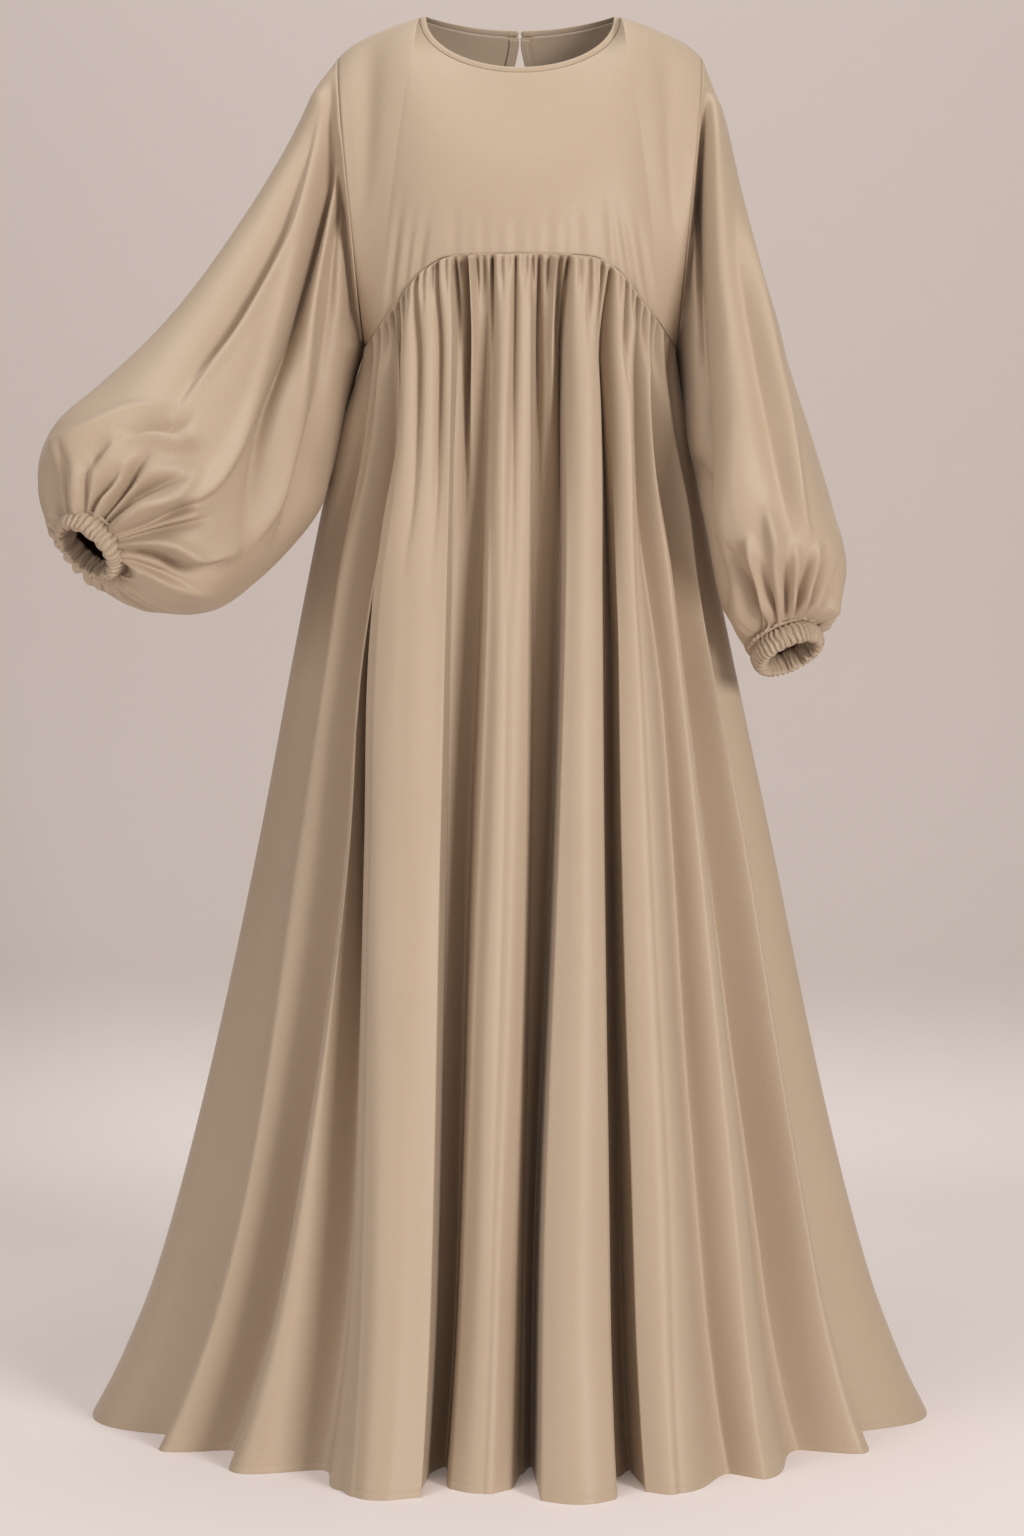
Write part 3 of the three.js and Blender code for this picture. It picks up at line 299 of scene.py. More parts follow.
LEFT_CREASES = named_rows(CREASE_COLUMNS, (
    (-28, 6.5, 0.0, 0.25, 0.2, ((188, -60), (180, -153), (172, -269), (170, -368))),
    (-38, 6, 0.1, 0.1, 0.2, ((188, -83), (184, -180), (183, -381), (184, -442),
                             (185, -523), (191, -610), (203, -640))),
    (15, 9, 0.6, 0.1, 0.2, ((193, -83), (191, -180), (190, -381), (191, -442), (193, -523), (200, -600))),
    (7, 6, -0.2, 0.2, 0.3, ((179, -150), (176, -238), (175, -381), (176, -449), (178, -549))),
    (9, 15, 0.15, 0.15, 0.25, ((198, -90), (203, -180), (207, -266), (209, -381),
                               (211, -442), (214, -523), (221, -590))),
    (-15, 16, -0.3, 0.25, 0.3, ((212, -190), (222, -290), (234, -381),
                                (244, -442), (259, -523), (272, -570))),
    (11, 6.5, -0.3, 0.25, 0.3, ((224, -190), (240, -285), (254, -381),
                                (265, -442), (277, -523), (287, -565))),
    (-8, 8, 0.0, 0.3, 0.3, ((262, -330), (285, -427), (305, -509), (314, -560))),
    (-26, 5.5, 0.0, 0.4, 0.0, ((203, -560), (214, -600), (222, -640), (226, -656))),
    (-24, 5.5, 0.0, 0.4, 0.0, ((211, -560), (222, -600), (233, -640), (240, -654))),
    (-34, 6, 0.0, 0.35, 0.0, ((230, -575), (241, -610), (248, -640), (252, -652))),
    (-34, 6, 0.0, 0.35, 0.0, ((256, -570), (262, -605), (265, -635), (266, -650))),
    (-32, 5.5, 0.0, 0.35, 0.0, ((286, -570), (282, -605), (280, -632), (278, -648))),
    (-30, 5, 0.0, 0.4, 0.0, ((303, -560), (299, -600), (294, -630), (289, -646))),
    (-24, 5, 0.0, 0.4, 0.0, ((321, -570), (318, -605), (308, -632), (300, -645))),
    (13, 8, 0.0, 0.4, 0.2, ((238, -520), (252, -575), (256, -620))),
    (12, 6.5, 0.0, 0.4, 0.2, ((222, -550), (231, -600), (240, -635))),
    (11, 6, 0.0, 0.4, 0.2, ((295, -560), (291, -600), (286, -630))),
    (12, 6, 0.0, 0.4, 0.2, ((270, -560), (272, -600), (272, -630))),
))

# Long folds of the back of each sleeve: the place round the sleeve in degrees from its
# uppermost line towards the front, at the head and at the cuff.
SLEEVE_FOLD_COLUMNS = ("head", "cuff", "out", "wide")
RIGHT_SLEEVE_FOLDS = named_rows(SLEEVE_FOLD_COLUMNS, (
    (205, 214, -14, 12), (228, 222, 7, 13), (252, 244, -19, 12),
    (285, 268, 9, 12), (312, 292, -21, 11), (332, 318, -11, 10),
))
LEFT_SLEEVE_FOLDS = named_rows(SLEEVE_FOLD_COLUMNS, (
    (204, 212, -14, 11), (236, 230, -17, 12), (262, 252, 7, 12),
    (292, 278, -19, 11), (326, 312, -13, 10),
))

# Gathers at the back of each cuff: the place of each valley round it, how far up the sleeve
# it runs and how far it stands out.
CUFF_GATHERS = named_rows(("turn", "long", "out"), (
    (176, 70, -14), (192, 45, -10), (207, 95, -17), (224, 50, -12), (239, 110, -18), (254, 45, -10),
    (271, 90, -16), (287, 50, -12), (303, 100, -18), (319, 45, -10), (336, 85, -16), (352, 50, -12),
))


# How the bodice leaves its top edge and arrives at the arched seam: outward and down.
BODICE_SLOPE = {
    "neck_down": -12, "shoulder_down": -34, "shoulder_out": 0.9, "centre_out": 26, "centre_down": -62,
    "seam_out": 4, "seam_up": 80, "side_up": 24,
}
KEYHOLE_FADE = 30
KEYHOLE_SPREAD = 0.3

HEM = {"fold": 5.6, "fold_step": 0.35, "fold_width": 1.2, "stitch": 6.6, "groove": 0.4, "stitch_width": 0.7}

# ---- curves ----


def mix(a, b, t):
    return a + (b - a) * t


def ease(t):
    held = min(1.0, max(0.0, t))
    return held * held * (3 - 2 * held)


def from_table(rows, key, column, place):
    """The value of one column at a place along the key column, joined by smooth curves."""
    rising = rows[-1][key] > rows[0][key]
    last = len(rows) - 2
    i = 0
    while i < last and (place > rows[i + 1][key] if rising else place < rows[i + 1][key]):
        i += 1
    before, start, end = rows[max(0, i - 1)], rows[i], rows[i + 1]
    after = rows[min(len(rows) - 1, i + 2)]
    span = end[key] - start[key]
    t = min(1.0, max(0.0, (place - start[key]) / span))
    slope_in = (end[column] - before[column]) / (end[key] - before[key])
    slope_out = (after[column] - start[column]) / (after[key] - start[key])
    return hermite(start[column], span * slope_in, end[column], span * slope_out, t)


def bezier(start, leaving, arriving, end, t):
    s = 1 - t
    return start * (s * s * s) + leaving * (3 * s * s * t) + arriving * (3 * s * t * t) + end * (t * t * t)


def hermite(start, leaving, end, arriving, t):
    t2, t3 = t * t, t * t * t
    places = start * (2 * t3 - 3 * t2 + 1) + end * (3 * t2 - 2 * t3)
    return places + leaving * (t3 - 2 * t2 + t) + arriving * (t3 - t2)


def dent(distance, width):
    """A narrow valley with rounded shoulders, 1 deep at distance 0."""
    soft = 0.35
    share = math.sqrt((distance / width) ** 2 + soft * soft) - soft
    return math.exp(-1.25 * share)


# ---- cloth ----


def cloth(name, columns, rows, place, cloth_uv, wall, closed=False, drop=None):
    """A sheet from a grid of columns and rows, with its cut size in its UV map.

    place(u, v) gives a point in millimetres, cloth_uv(u, v) gives metres of cloth, and
    drop(u, v) tells which faces are cut away, by their middle.
    """
    maker = bmesh.new()
    bmesh.ops.create_grid(maker, x_segments=columns, y_segments=rows, size=1.0)
    uv_map = maker.loops.layers.uv.new("cloth")
    flat = {vert: ((vert.co.x + 1) / 2, (vert.co.y + 1) / 2) for vert in maker.verts}
    if drop:
        cut = [face for face in maker.faces if drop(*middle_of(face, flat))]
        bmesh.ops.delete(maker, geom=cut, context="FACES")
    for face in maker.faces:
        face.smooth = True
        for loop in face.loops:
            loop[uv_map].uv = cloth_uv(*flat[loop.vert])
    for vert in maker.verts:
        vert.co = place(*flat[vert]) * MM
    if closed:
        bmesh.ops.remove_doubles(maker, verts=maker.verts, dist=0.000002)
    piece = as_object(name, maker)
    if wall:
        shell = piece.modifiers.new("wall", "SOLIDIFY")
        shell.thickness = wall
        shell.offset = -1
        shell.use_rim = True
    return piece


def middle_of(face, flat):
    corners = [flat[vert] for vert in face.verts]
    return sum(u for u, v in corners) / len(corners), sum(v for u, v in corners) / len(corners)


def as_object(name, maker):
    mesh = bpy.data.meshes.new(name)
    maker.to_mesh(mesh)
    maker.free()
    piece = bpy.data.objects.new(name, mesh)
    bpy.context.scene.collection.objects.link(piece)
    return piece


def finish_piece(piece, node, material):
    piece.data.materials.append(material)
    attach(piece, "root")
    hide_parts(node)


# ---- neckline and bodice ----


def shoulder_level(across):
    """The level of the shoulder seam at a distance from the centre line."""
    length = SHOULDER["half_width"] - NECK["half_width"]
    share = max(0.0, (across - NECK["half_width"]) / length)
    return -SHOULDER["slope"] * share ** SHOULDER["bend"] - SHOULDER["tip"] * share ** SHOULDER["tip_bend"]


def neck_point(turn, outward):
    """A point of the neckline or of a line round it: 0 is at the wearer's left neck point."""
    side = math.cos(turn)
    share = abs(math.sin(turn))
    fall = shoulder_level(NECK["half_width"] + outward) * side * side
    x = (NECK["half_width"] + outward) * side
    if -math.pi < turn < 0:
        y = -(NECK["front_depth"] + outward * NECK_SPREAD["front"]) * share
        return Vector((x, y, fall - (NECK["front_drop"] + outward * NECK_SPREAD["front_down"]) * share))
    y = (NECK["back_depth"] + outward * NECK_SPREAD["back"]) * share
    nape = NECK["nape"] * share - NECK["nape_dip"] * share * share
    return Vector((x, y, fall + nape - outward * NECK_SPREAD["back_down"] * share))


def neck_normal(turn):
    step = 0.01
    along = neck_point(turn + step, 0) - neck_point(turn - step, 0)
    outward = neck_point(turn, BINDING_WIDTH) - neck_point(turn, 0)
    return outward.cross(along).normalized()


def neck_turn(place, side):
    swing = (1 - abs(place) / NECK_SHARE) * math.pi / 2
    return side * (math.pi - swing if place < 0 else swing)


def arch_point(share, depth):
    reach = min(1.0, abs(share))
    y = depth * max(0.0, 1 - reach ** ARCH_POWER) ** (1 / ARCH_POWER)
    return Vector((share * UNDERARM, y, from_table(ARCH, "across", "level", reach * UNDERARM)))


def bodice_point(place, side, down):
    """A point of the bodice: place runs from -1 at the right armhole to 1 at the left one."""
    reach = abs(place)
    sign = -1 if place < 0 else 1
    slope = BODICE_SLOPE
    depth = BUST_DEPTH if side < 0 else BACK_DEPTH
    bulge = ARMHOLE_REACH[side]
    seam_offset = side * SIDE_GAP
    bottom = arch_point(math.sin(place * math.pi / 2), side * depth)
    bottom.y += seam_offset
    edge = ease((reach - NECK_SHARE) / (1 - NECK_SHARE))
    chest = SHOULDER["chest"] if side < 0 else SHOULDER["blade"]
    neck_out = BINDING_WIDTH + SEAM_GAP
    if reach > NECK_SHARE:
        out = (reach - NECK_SHARE) / (1 - NECK_SHARE)
        across = mix(NECK["half_width"] + neck_out, SHOULDER["half_width"], out)
        top = Vector((sign * across, seam_offset, shoulder_level(across)))
        forward = mix(chest, bulge * slope["shoulder_out"], edge)
        leaving = Vector((0, side * forward, mix(slope["neck_down"], slope["shoulder_down"], edge)))
    else:
        turn = neck_turn(place, side)
        top = neck_point(turn, neck_out)
        top.y += seam_offset * (reach / NECK_SHARE)
        round_share = abs(math.sin(turn))
        forward = mix(chest, slope["centre_out"], round_share)
        leaving = Vector((0, side * forward, mix(slope["neck_down"], slope["centre_down"], round_share)))
    forward = mix(slope["seam_out"], bulge, reach ** 3)
    arriving = Vector((0, side * forward, mix(slope["seam_up"], slope["side_up"], edge))) + bottom
    return bezier(top, top + leaving, arriving, bottom, down)


def crease_depth(creases, place, down, half_width):
    depth = 0.0
    for row in creases:
        run = (down - row["top"]) / (row["end"] - row["top"])
        if run <= 0 or (row["end"] < 1 and run >= 1):
            continue
        centre = row["place"] + row["drift"] * (run - 1)
        strength = ease(run * 1.4) if row["end"] >= 1 else math.sin(math.pi * run)
        distance = (place - centre) * half_width
        depth += row["deep"] * strength * math.exp(-((distance / row["wide"]) ** 2))
    return depth


def below_nape(down):
    """How far a point of the back's centre line lies below the neck."""
    return bodice_point(0, 1, 0).z - bodice_point(0, 1, down).z


def across_per_place(down):
    """Millimetres across the back for a place of 1, near its centre line."""
    near = 0.05
    return bodice_point(near, 1, down).x / near


def keyhole_half(below):
    share = min(1.0, below / KEYHOLE["length"])
    swell = KEYHOLE["max_half"] * math.sin(math.pi * share ** 1.5)
    return max(KEYHOLE["top_half"] * (1 - share), swell, 0.05)


def keyhole_place(place, down, strip):
    """Moves the lines of the back panel sideways, so that two of them follow the keyhole."""
    below = below_nape(down)
    if below >= KEYHOLE["length"] + KEYHOLE_FADE:
        return place
    edge = keyhole_half(below) / across_per_place(down)
    reach = abs(place)
    moved = reach + (edge - strip) * (1 - ease((reach - strip) / KEYHOLE_SPREAD))
    fade = ease((KEYHOLE["length"] + KEYHOLE_FADE - below) / KEYHOLE_FADE)
    return math.copysign(mix(reach, moved, fade), place)


def bodice_normal(place, side, down):
    step = 0.004
    across = bodice_point(min(1, place + step), side, down) - bodice_point(max(-1, place - step), side, down)
    low = bodice_point(place, side, min(1, down + step)) - bodice_point(place, side, max(0, down - step))
    return across.cross(low).normalized() * side


# ---- skirt ----


def form_point(share, level, side):
    """A point of the smooth form under the folds and the way it faces in plan."""
    half = from_table(SKIRT_FORM, "level", "right" if share < 0 else "left", level)
    depth = from_table(SKIRT_FORM, "level", "front" if side < 0 else "back", level)
    start = SKIRT_FORM[1]["level"]
    fallen = min(1, max(0, (level - start) / (HEM_LEVEL - start)))
    power = mix(PLAN_POWER["seam"], PLAN_POWER["hem"], fallen)
    reach = min(1.0, abs(share))
    out = max(0.0, 1 - reach ** power) ** (1 / power)
    slope_x = math.copysign(reach ** (power - 1), share) / half
    slope_y = side * out ** (power - 1) / depth
    length = math.hypot(slope_x, slope_y)
    return share * half, side * depth * out, slope_x / length, slope_y / length


def fold_share(fold, level, seam_level):
    line = [{"level": seam_level, "share": fold["seam"]}]
    line += [{"level": FOLD_LEVELS[name], "share": fold[name]} for name in FOLD_LEVELS]
    return from_table(line, "level", "share", level)


class SkirtPanel:
    """The folds, gathers and columns of one side of the skirt."""

    seam_weight = 6

    def __init__(self, folds, gathers, side, middle):
        self.middle = middle
        self.folds = folds
        self.gathers = gathers
        self.side = side
        self.depth = BUST_DEPTH if side < 0 else BACK_DEPTH
        self.seam_levels = [arch_point(fold["seam"], 1).z for fold in folds]
        ends = []
        total = 0.0
        for i in range(len(folds) - 1):
            seam = arch_point(folds[i + 1]["seam"], self.depth) - arch_point(folds[i]["seam"], self.depth)
            hem = self.on_form(i, 1.0, HEM_LEVEL)[0] - self.on_form(i, 0.0, HEM_LEVEL)[0]
            total += hem.length + self.seam_weight * seam.length
            ends.append(total)
        self.ends = ends
        self.total = total

    def column(self, u):
        """The fold interval at a share of the panel's cloth, and the part of the way over it."""
        place = u * self.total
        start = 0.0
        for i, end in enumerate(self.ends):
            if place <= end or i == len(self.ends) - 1:
                return i, min(1.0, max(0.0, (place - start) / (end - start)))
            start = end

    def on_form(self, i, part, level):
        first, second = self.folds[i], self.folds[i + 1]
        seam_level = mix(self.seam_levels[i], self.seam_levels[i + 1], part)
        growth = max(0.0, (seam_level - level) / (seam_level - HEM_LEVEL)) ** FOLD_GROWTH
        share = mix(
            fold_share(first, level, self.seam_levels[i]),
            fold_share(second, level, self.seam_levels[i + 1]),
            part,
        )
        x, y, face_x, face_y = form_point(share, level, self.side)
        out = mix(first["out"], second["out"], ease(part)) + first["crown"] * math.sin(math.pi * part)
        out *= growth
        point = Vector((x + face_x * out, y + face_y * out + self.side * SIDE_GAP, level))
        return point, Vector((face_x, face_y, 0))

    def row_level(self, row, seam_level):
        """The level of a row of the panel under a point of its seam."""
        tops, hems = SKIRT_TOP_DROPS, SKIRT_HEM_HEIGHTS
        if row < len(tops):
            return seam_level - SEAM_GAP - tops[row]
        if row >= len(tops) + self.middle:
            return HEM_LEVEL + hems[row - len(tops) - self.middle]
        part = (row - len(tops) + 1) / (self.middle + 1)
        return mix(seam_level - tops[-1], HEM_LEVEL + hems[0], part)

    def point(self, u, row):
        i, part = self.column(u)
        angle = mix(math.asin(self.folds[i]["seam"]), math.asin(self.folds[i + 1]["seam"]), part)
        seam_share = math.sin(angle)
        seam = arch_point(seam_share, self.side * self.depth)
        level = self.row_level(row, seam.z)
        seam.z -= SEAM_GAP
        point, facing = self.on_form(i, part, level)
        fallen = seam.z - level
        settle = 1 - ease(fallen / SEAM_BLEND)
        if settle > 0:
            point += (seam - self.on_form(i, part, seam.z)[0]) * settle
        edge = ease((1 - abs(seam_share)) / 0.03)
        return point + facing * (edge * self.relief(seam.x, fallen, level))

    def relief(self, seam_x, fallen, level):
        """Gathers and soft undulations, as the distance that the cloth stands out."""
        half = from_table(SKIRT_FORM, "level", "right" if seam_x < 0 else "left", level)
        spread = half / UNDERARM
        rise = ease(fallen / GATHER["rise"])
        relief = GATHER["puff"] * rise * (1 - ease((fallen - GATHER["puff_start"]) / GATHER["puff_fade"]))
        relief -= GATHER["tuck"] * (1 - ease(fallen / GATHER["tuck_fade"]))
        deepening = GATHER["deepening"] + GATHER["more"] * ease(fallen / GATHER["settled"])
        width = GATHER["width"] + GATHER["widening"] * fallen
        for row in self.gathers:
            if fallen > row["long"] * 1.35:
                continue
            distance = abs(seam_x - row["across"]) * spread
            if distance > width * 5:
                continue
            fade = 1 - ease((fallen - 0.35 * row["long"]) / row["long"])
            relief -= row["deep"] * deepening * rise * fade * dent(distance, width)
        where = Vector((seam_x / UNDULATION["across"], level / UNDULATION["down"], self.side * 7.3))
        relief += UNDULATION["height"] * ease(fallen / UNDULATION["grown"]) * noise.noise(where)
        above = level - HEM_LEVEL
        relief += HEM["fold_step"] * (1 - ease((above - HEM["fold"]) / HEM["fold_width"]))
        relief -= HEM["groove"] * math.exp(-(((above - HEM["stitch"]) / HEM["stitch_width"]) ** 2))
        return relief


# ---- sleeves and cuffs ----


def cuff_frame(cuff):
    faces = Vector(cuff["faces"]).normalized()
    up = Vector(cuff["up"]).normalized()
    front = faces.cross(up).normalized()
    if front.y > 0:
        front.negate()
    return faces, up, front, Vector(cuff["opening"]) - faces * CUFF["length"]


class Crease:
    """A smooth way across the cloth, seen from the front, with the form of its fold."""

    steps = 6

    def __init__(self, row):
        self.row = row
        way = [Vector(place) for place in row["way"]]
        places = [way[0]]
        for i in range(len(way) - 1):
            before, after = way[max(0, i - 1)], way[min(len(way) - 1, i + 2)]
            start, end = way[i], way[i + 1]
            for k in range(1, self.steps + 1):
                t = k / self.steps
                places.append(hermite(start, (end - before) / 2, end, (after - start) / 2, t))
        self.places = places
        reach = 4.5 * row["wide"] * (1 + abs(row["lean"]))
        self.low = (min(p.x for p in places) - reach, min(p.y for p in places) - reach)
        self.high = (max(p.x for p in places) + reach, max(p.y for p in places) + reach)

    def height(self, x, z):
        if not (self.low[0] < x < self.high[0] and self.low[1] < z < self.high[1]):
            return 0.0
        best, share, side = 1e9, 0.0, 1
        count = len(self.places) - 1
        for i in range(count):
            a, b = self.places[i], self.places[i + 1]
            dx, dz = b.x - a.x, b.y - a.y
            t = ((x - a.x) * dx + (z - a.y) * dz) / (dx * dx + dz * dz)
            t = min(1.0, max(0.0, t))
            away = (a.x + dx * t - x) ** 2 + (a.y + dz * t - z) ** 2
            if away < best:
                best, share = away, (i + t) / count
                side = 1 if dx * (z - a.y) > dz * (x - a.x) else -1
        row = self.row
        strength = ease(share / row["rise"]) if row["rise"] else 1.0
        if row["fade"]:
            strength *= 1 - ease((share - 1 + row["fade"]) / row["fade"])
        wide = row["wide"] * (1 + side * row["lean"]) * mix(0.7, 1.0, min(1.0, strength))
        away = math.sqrt(best) / wide
        form = dent(away, 1.0) if row["out"] < 0 else math.exp(-away * away)
        return row["out"] * strength * form


class SleeveForm:
    """One sleeve's rings, folds and gathers. Places along it run from 0 to 1 at the cuff."""

    deepest_pleat = 7
    samples = 48

    def __init__(self, sign, rings, cuff, creases, folds):
        self.sign = sign
        self.rings = rings
        self.creases = [Crease(row) for row in creases]
        self.folds = folds
        self.faces, self.up, self.front, self.joint = cuff_frame(cuff)
        self.last = len(rings)
        self.centres = [self.centre_of(k / self.samples) for k in range(self.samples + 1)]
        lengths = [(b - a).length for a, b in zip(self.centres, self.centres[1:])]
        self.to_cuff = [sum(lengths[k:]) for k in range(self.samples + 1)]

    def ring_point(self, index, turn):
        base = min(len(self.rings) - 2, int(index))
        part = index - base

        def value(name):
            rows = self.rings
            before, after = rows[max(0, base - 1)], rows[min(len(rows) - 1, base + 2)]
            start, end = rows[base][name], rows[base + 1][name]
            return hermite(start, (end - before[name]) / 2, end, (after[name] - start) / 2, part)

        top = Vector((value("top_x"), value("mid_y"), value("top_z")))
        low = Vector((value("low_x"), value("mid_y"), value("low_z")))
        turned = ease((index - 2) / (len(self.rings) - 2))
        towards = Vector((0, -1, 0)).lerp(self.front, turned).normalized()
        middle = (top + low) / 2
        return middle + (top - low) * (math.cos(turn) / 2) + towards * (value("half") * math.sin(turn))

    def armhole(self, turn):
        ahead = turn <= math.pi
        down = (turn if ahead else 2 * math.pi - turn) / math.pi
        point = bodice_point(self.sign, -1 if ahead else 1, down)
        point.x += self.sign * SEAM_GAP
        return point

    def smooth_point(self, along, turn):
        index = along * self.last
        if index < 1:
            start, end = self.armhole(turn), self.ring_point(1, turn)
            onward = (self.ring_point(1.1, turn) - end) * 10
            return hermite(start, end - start, end, onward, index)
        if index <= self.last - 1:
            return self.ring_point(index, turn)
        start = self.ring_point(self.last - 1, turn)
        leaving = (start - self.ring_point(self.last - 1.1, turn)) * 10
        outward = self.up * math.cos(turn) + self.front * math.sin(turn)
        end = self.joint - self.faces * SEAM_GAP + outward * CUFF["radius"]
        return hermite(start, leaving, end, self.faces * 8 - outward * 26, index - self.last + 1)

    def centre_of(self, along):
        return sum((self.smooth_point(along, k * math.pi / 4) for k in range(8)), Vector()) / 8

    def centre(self, along):
        place = along * self.samples
        k = min(self.samples - 1, int(place))
        return self.centres[k].lerp(self.centres[k + 1], place - k)

    def left_to_cuff(self, along):
        place = along * self.samples
        k = min(self.samples - 1, int(place))
        return mix(self.to_cuff[k], self.to_cuff[k + 1], place - k)

    def point(self, along, turn):
        point = self.smooth_point(along, turn)
        out = point - self.centre(along)
        radius = out.length
        return point + out / radius * self.relief(along, turn, point, radius)

    def relief(self, along, turn, point, radius):
        degrees = math.degrees(turn)
        left = self.left_to_cuff(along)
        ahead = ease((math.sin(turn) + 0.16) / 0.32)
        relief = 0.0
        if ahead > 0:
            relief += ahead * sum(crease.height(point.x, point.z) for crease in self.creases)
        if ahead < 1:
            relief += (1 - ahead) * self.back_relief(along, degrees, radius, left)
        where = Vector((math.cos(turn) * 1.8, math.sin(turn) * 1.8, along * 3.1 + self.sign * 5))
        wander = noise.noise(where)
        relief += SLEEVE_WANDER * wander * math.sin(math.pi * min(1.0, along))
        relief *= ease(along / 0.035) * ease(left / 10)
        relief = max(relief, CUFF["radius"] - self.deepest_pleat - radius)
        pinch = ruching(turn, 0.0, self.sign) * ease(left / 3) * (1 - ease(left / PINCH["long"]))
        return relief + PINCH["height"] * pinch

    def back_relief(self, along, degrees, radius, left):
        relief = 0.0
        strength = ease(along / 0.12) * (1 - ease((along - 0.6) / 0.35))
        narrow = 0.5 + 0.5 * ease(along / 0.3)
        for fold in self.folds:
            centre = mix(fold["head"], fold["cuff"], along)
            away = math.radians((degrees - centre + 540) % 360 - 180) * radius
            relief += fold["out"] * strength * narrow * dent(away, fold["wide"] * narrow)
        if left < 150:
            for row in CUFF_GATHERS:
                if left < row["long"] * 1.3:
                    away = math.radians((degrees - row["turn"] + 540) % 360 - 180) * radius
                    fade = 1 - ease((left - 0.3 * row["long"]) / row["long"])
                    relief += row["out"] * fade * dent(away, 3.0 + 0.08 * left)
        return relief


# ---- materials ----

CREPE_SURFACE = {"Sheen Roughness": 0.42, "Sheen Tint": (1.0, 0.93, 0.84, 1.0), "Specular IOR Level": 0.32}
CREPE_CLOUD = {"Scale": 9.0, "Detail": 3.0}
CREPE_TONES = {"A": (0.965, 0.96, 0.95), "B": (1.035, 1.035, 1.04)}
CREPE_GRAIN = {"Scale": 1.0, "Detail": 2.0, "Roughness": 0.6}
CREPE_RELIEF = {"Strength": 0.22, "Distance": 0.0003}
CREPE_FLECK = 0.14
WEFT_SHARE = 0.8

# The height above the floor over which the floor's painted light fades into the wall's colour, in metres. The
# floor's paler colour stands in for the overhead light falling on it.
PAINTED_FLOOR_LIGHT_FADE = 0.32
PAPER_ROUGHNESS = 0.9


def set_inputs(node, values):
    for name, value in values.items():
        node.inputs[name].default_value = value


def crepe(name, cloth_look, tone=1.0):
    """Satin-backed crepe: a soft sheen, a slightly cloudy tone and a fine grain."""
    material = bpy.data.materials.new(name)
    material.use_nodes = True
    nodes, links = material.node_tree.nodes, material.node_tree.links
    surface = nodes["Principled BSDF"]
    set_inputs(surface, {"Roughness": cloth_look.roughness, "Sheen Weight": cloth_look.sheen})
    set_inputs(surface, CREPE_SURFACE)
    place = nodes.new("ShaderNodeTexCoord")
    cloud = nodes.new("ShaderNodeTexNoise")
    set_inputs(cloud, CREPE_CLOUD)
    links.new(place.outputs["Object"], cloud.inputs["Vector"])
    tint = nodes.new("ShaderNodeMix")
    tint.data_type = "RGBA"
    for socket, share in CREPE_TONES.items():
        shade = [colour * tone * part for colour, part in zip(cloth_look.colour, share)]
        tint.inputs[socket].default_value = (*shade, 1)
    links.new(cloud.outputs["Fac"], tint.inputs["Factor"])
    uv = nodes.new("ShaderNodeUVMap")
    uv.uv_map = "cloth"
    threads = nodes.new("ShaderNodeMapping")
    threads.inputs["Scale"].default_value = (cloth_look.threads, cloth_look.threads * WEFT_SHARE, 1)
    links.new(uv.outputs["UV"], threads.inputs["Vector"])
    grain = nodes.new("ShaderNodeTexNoise")
    set_inputs(grain, CREPE_GRAIN)
    links.new(threads.outputs["Vector"], grain.inputs["Vector"])
    fleck = nodes.new("ShaderNodeMix")
    fleck.data_type = "RGBA"
    fleck.blend_type = "OVERLAY"
    fleck.inputs["Factor"].default_value = CREPE_FLECK
    links.new(tint.outputs["Result"], fleck.inputs["A"])
    links.new(grain.outputs["Color"], fleck.inputs["B"])
    relief = nodes.new("ShaderNodeBump")
    set_inputs(relief, CREPE_RELIEF)
    links.new(grain.outputs["Fac"], relief.inputs["Height"])
    links.new(relief.outputs["Normal"], surface.inputs["Normal"])
    links.new(fleck.outputs["Result"], surface.inputs["Base Color"])
    return material


def studio_paper(cloth_look):
    """Matt paper with painted light: it is painted paler on the floor than up the wall, to stand in for the
    overhead light on the floor.
    """
    material = bpy.data.materials.new("studio paper")
    material.use_nodes = True
    nodes, links = material.node_tree.nodes, material.node_tree.links
    surface = nodes["Principled BSDF"]
    surface.inputs["Roughness"].default_value = PAPER_ROUGHNESS
    place = nodes.new("ShaderNodeTexCoord")
    axes = nodes.new("ShaderNodeSeparateXYZ")
    links.new(place.outputs["Object"], axes.inputs["Vector"])
    height = nodes.new("ShaderNodeMapRange")
    height.interpolation_type = "SMOOTHSTEP"
    height.inputs["From Min"].default_value = HEM_LEVEL * MM
    height.inputs["From Max"].default_value = HEM_LEVEL * MM + PAINTED_FLOOR_LIGHT_FADE
    links.new(axes.outputs["Z"], height.inputs["Value"])
    # Painted light: the floor's colour is painted paler than the wall's and fades into the wall's colour with
    # height.
    tint = nodes.new("ShaderNodeMix")
    tint.data_type = "RGBA"
    tint.inputs["A"].default_value = (*cloth_look.floor_colour_painted_paler, 1)
    tint.inputs["B"].default_value = (*cloth_look.wall_colour, 1)
    links.new(height.outputs["Result"], tint.inputs["Factor"])
    links.new(tint.outputs["Result"], surface.inputs["Base Color"])
    return material


# ---- what a user would change ----


class AbayaCut(PropertyGroup):
    """Sizes of the cloth and its details."""

    wall: FloatProperty(name="Cloth", description="Thickness of the cloth", default=0.0009, unit="LENGTH")
    skirt_columns: IntProperty(name="Skirt columns", description="Columns of each skirt panel", default=540)
    skirt_rows: IntProperty(name="Skirt rows", description="Rows between the gathers and the hem", default=54)
    sleeve_columns: IntProperty(name="Sleeve columns", description="Columns round each sleeve", default=300)
    sleeve_rows: IntProperty(name="Sleeve rows", description="Rows along each sleeve", default=140)


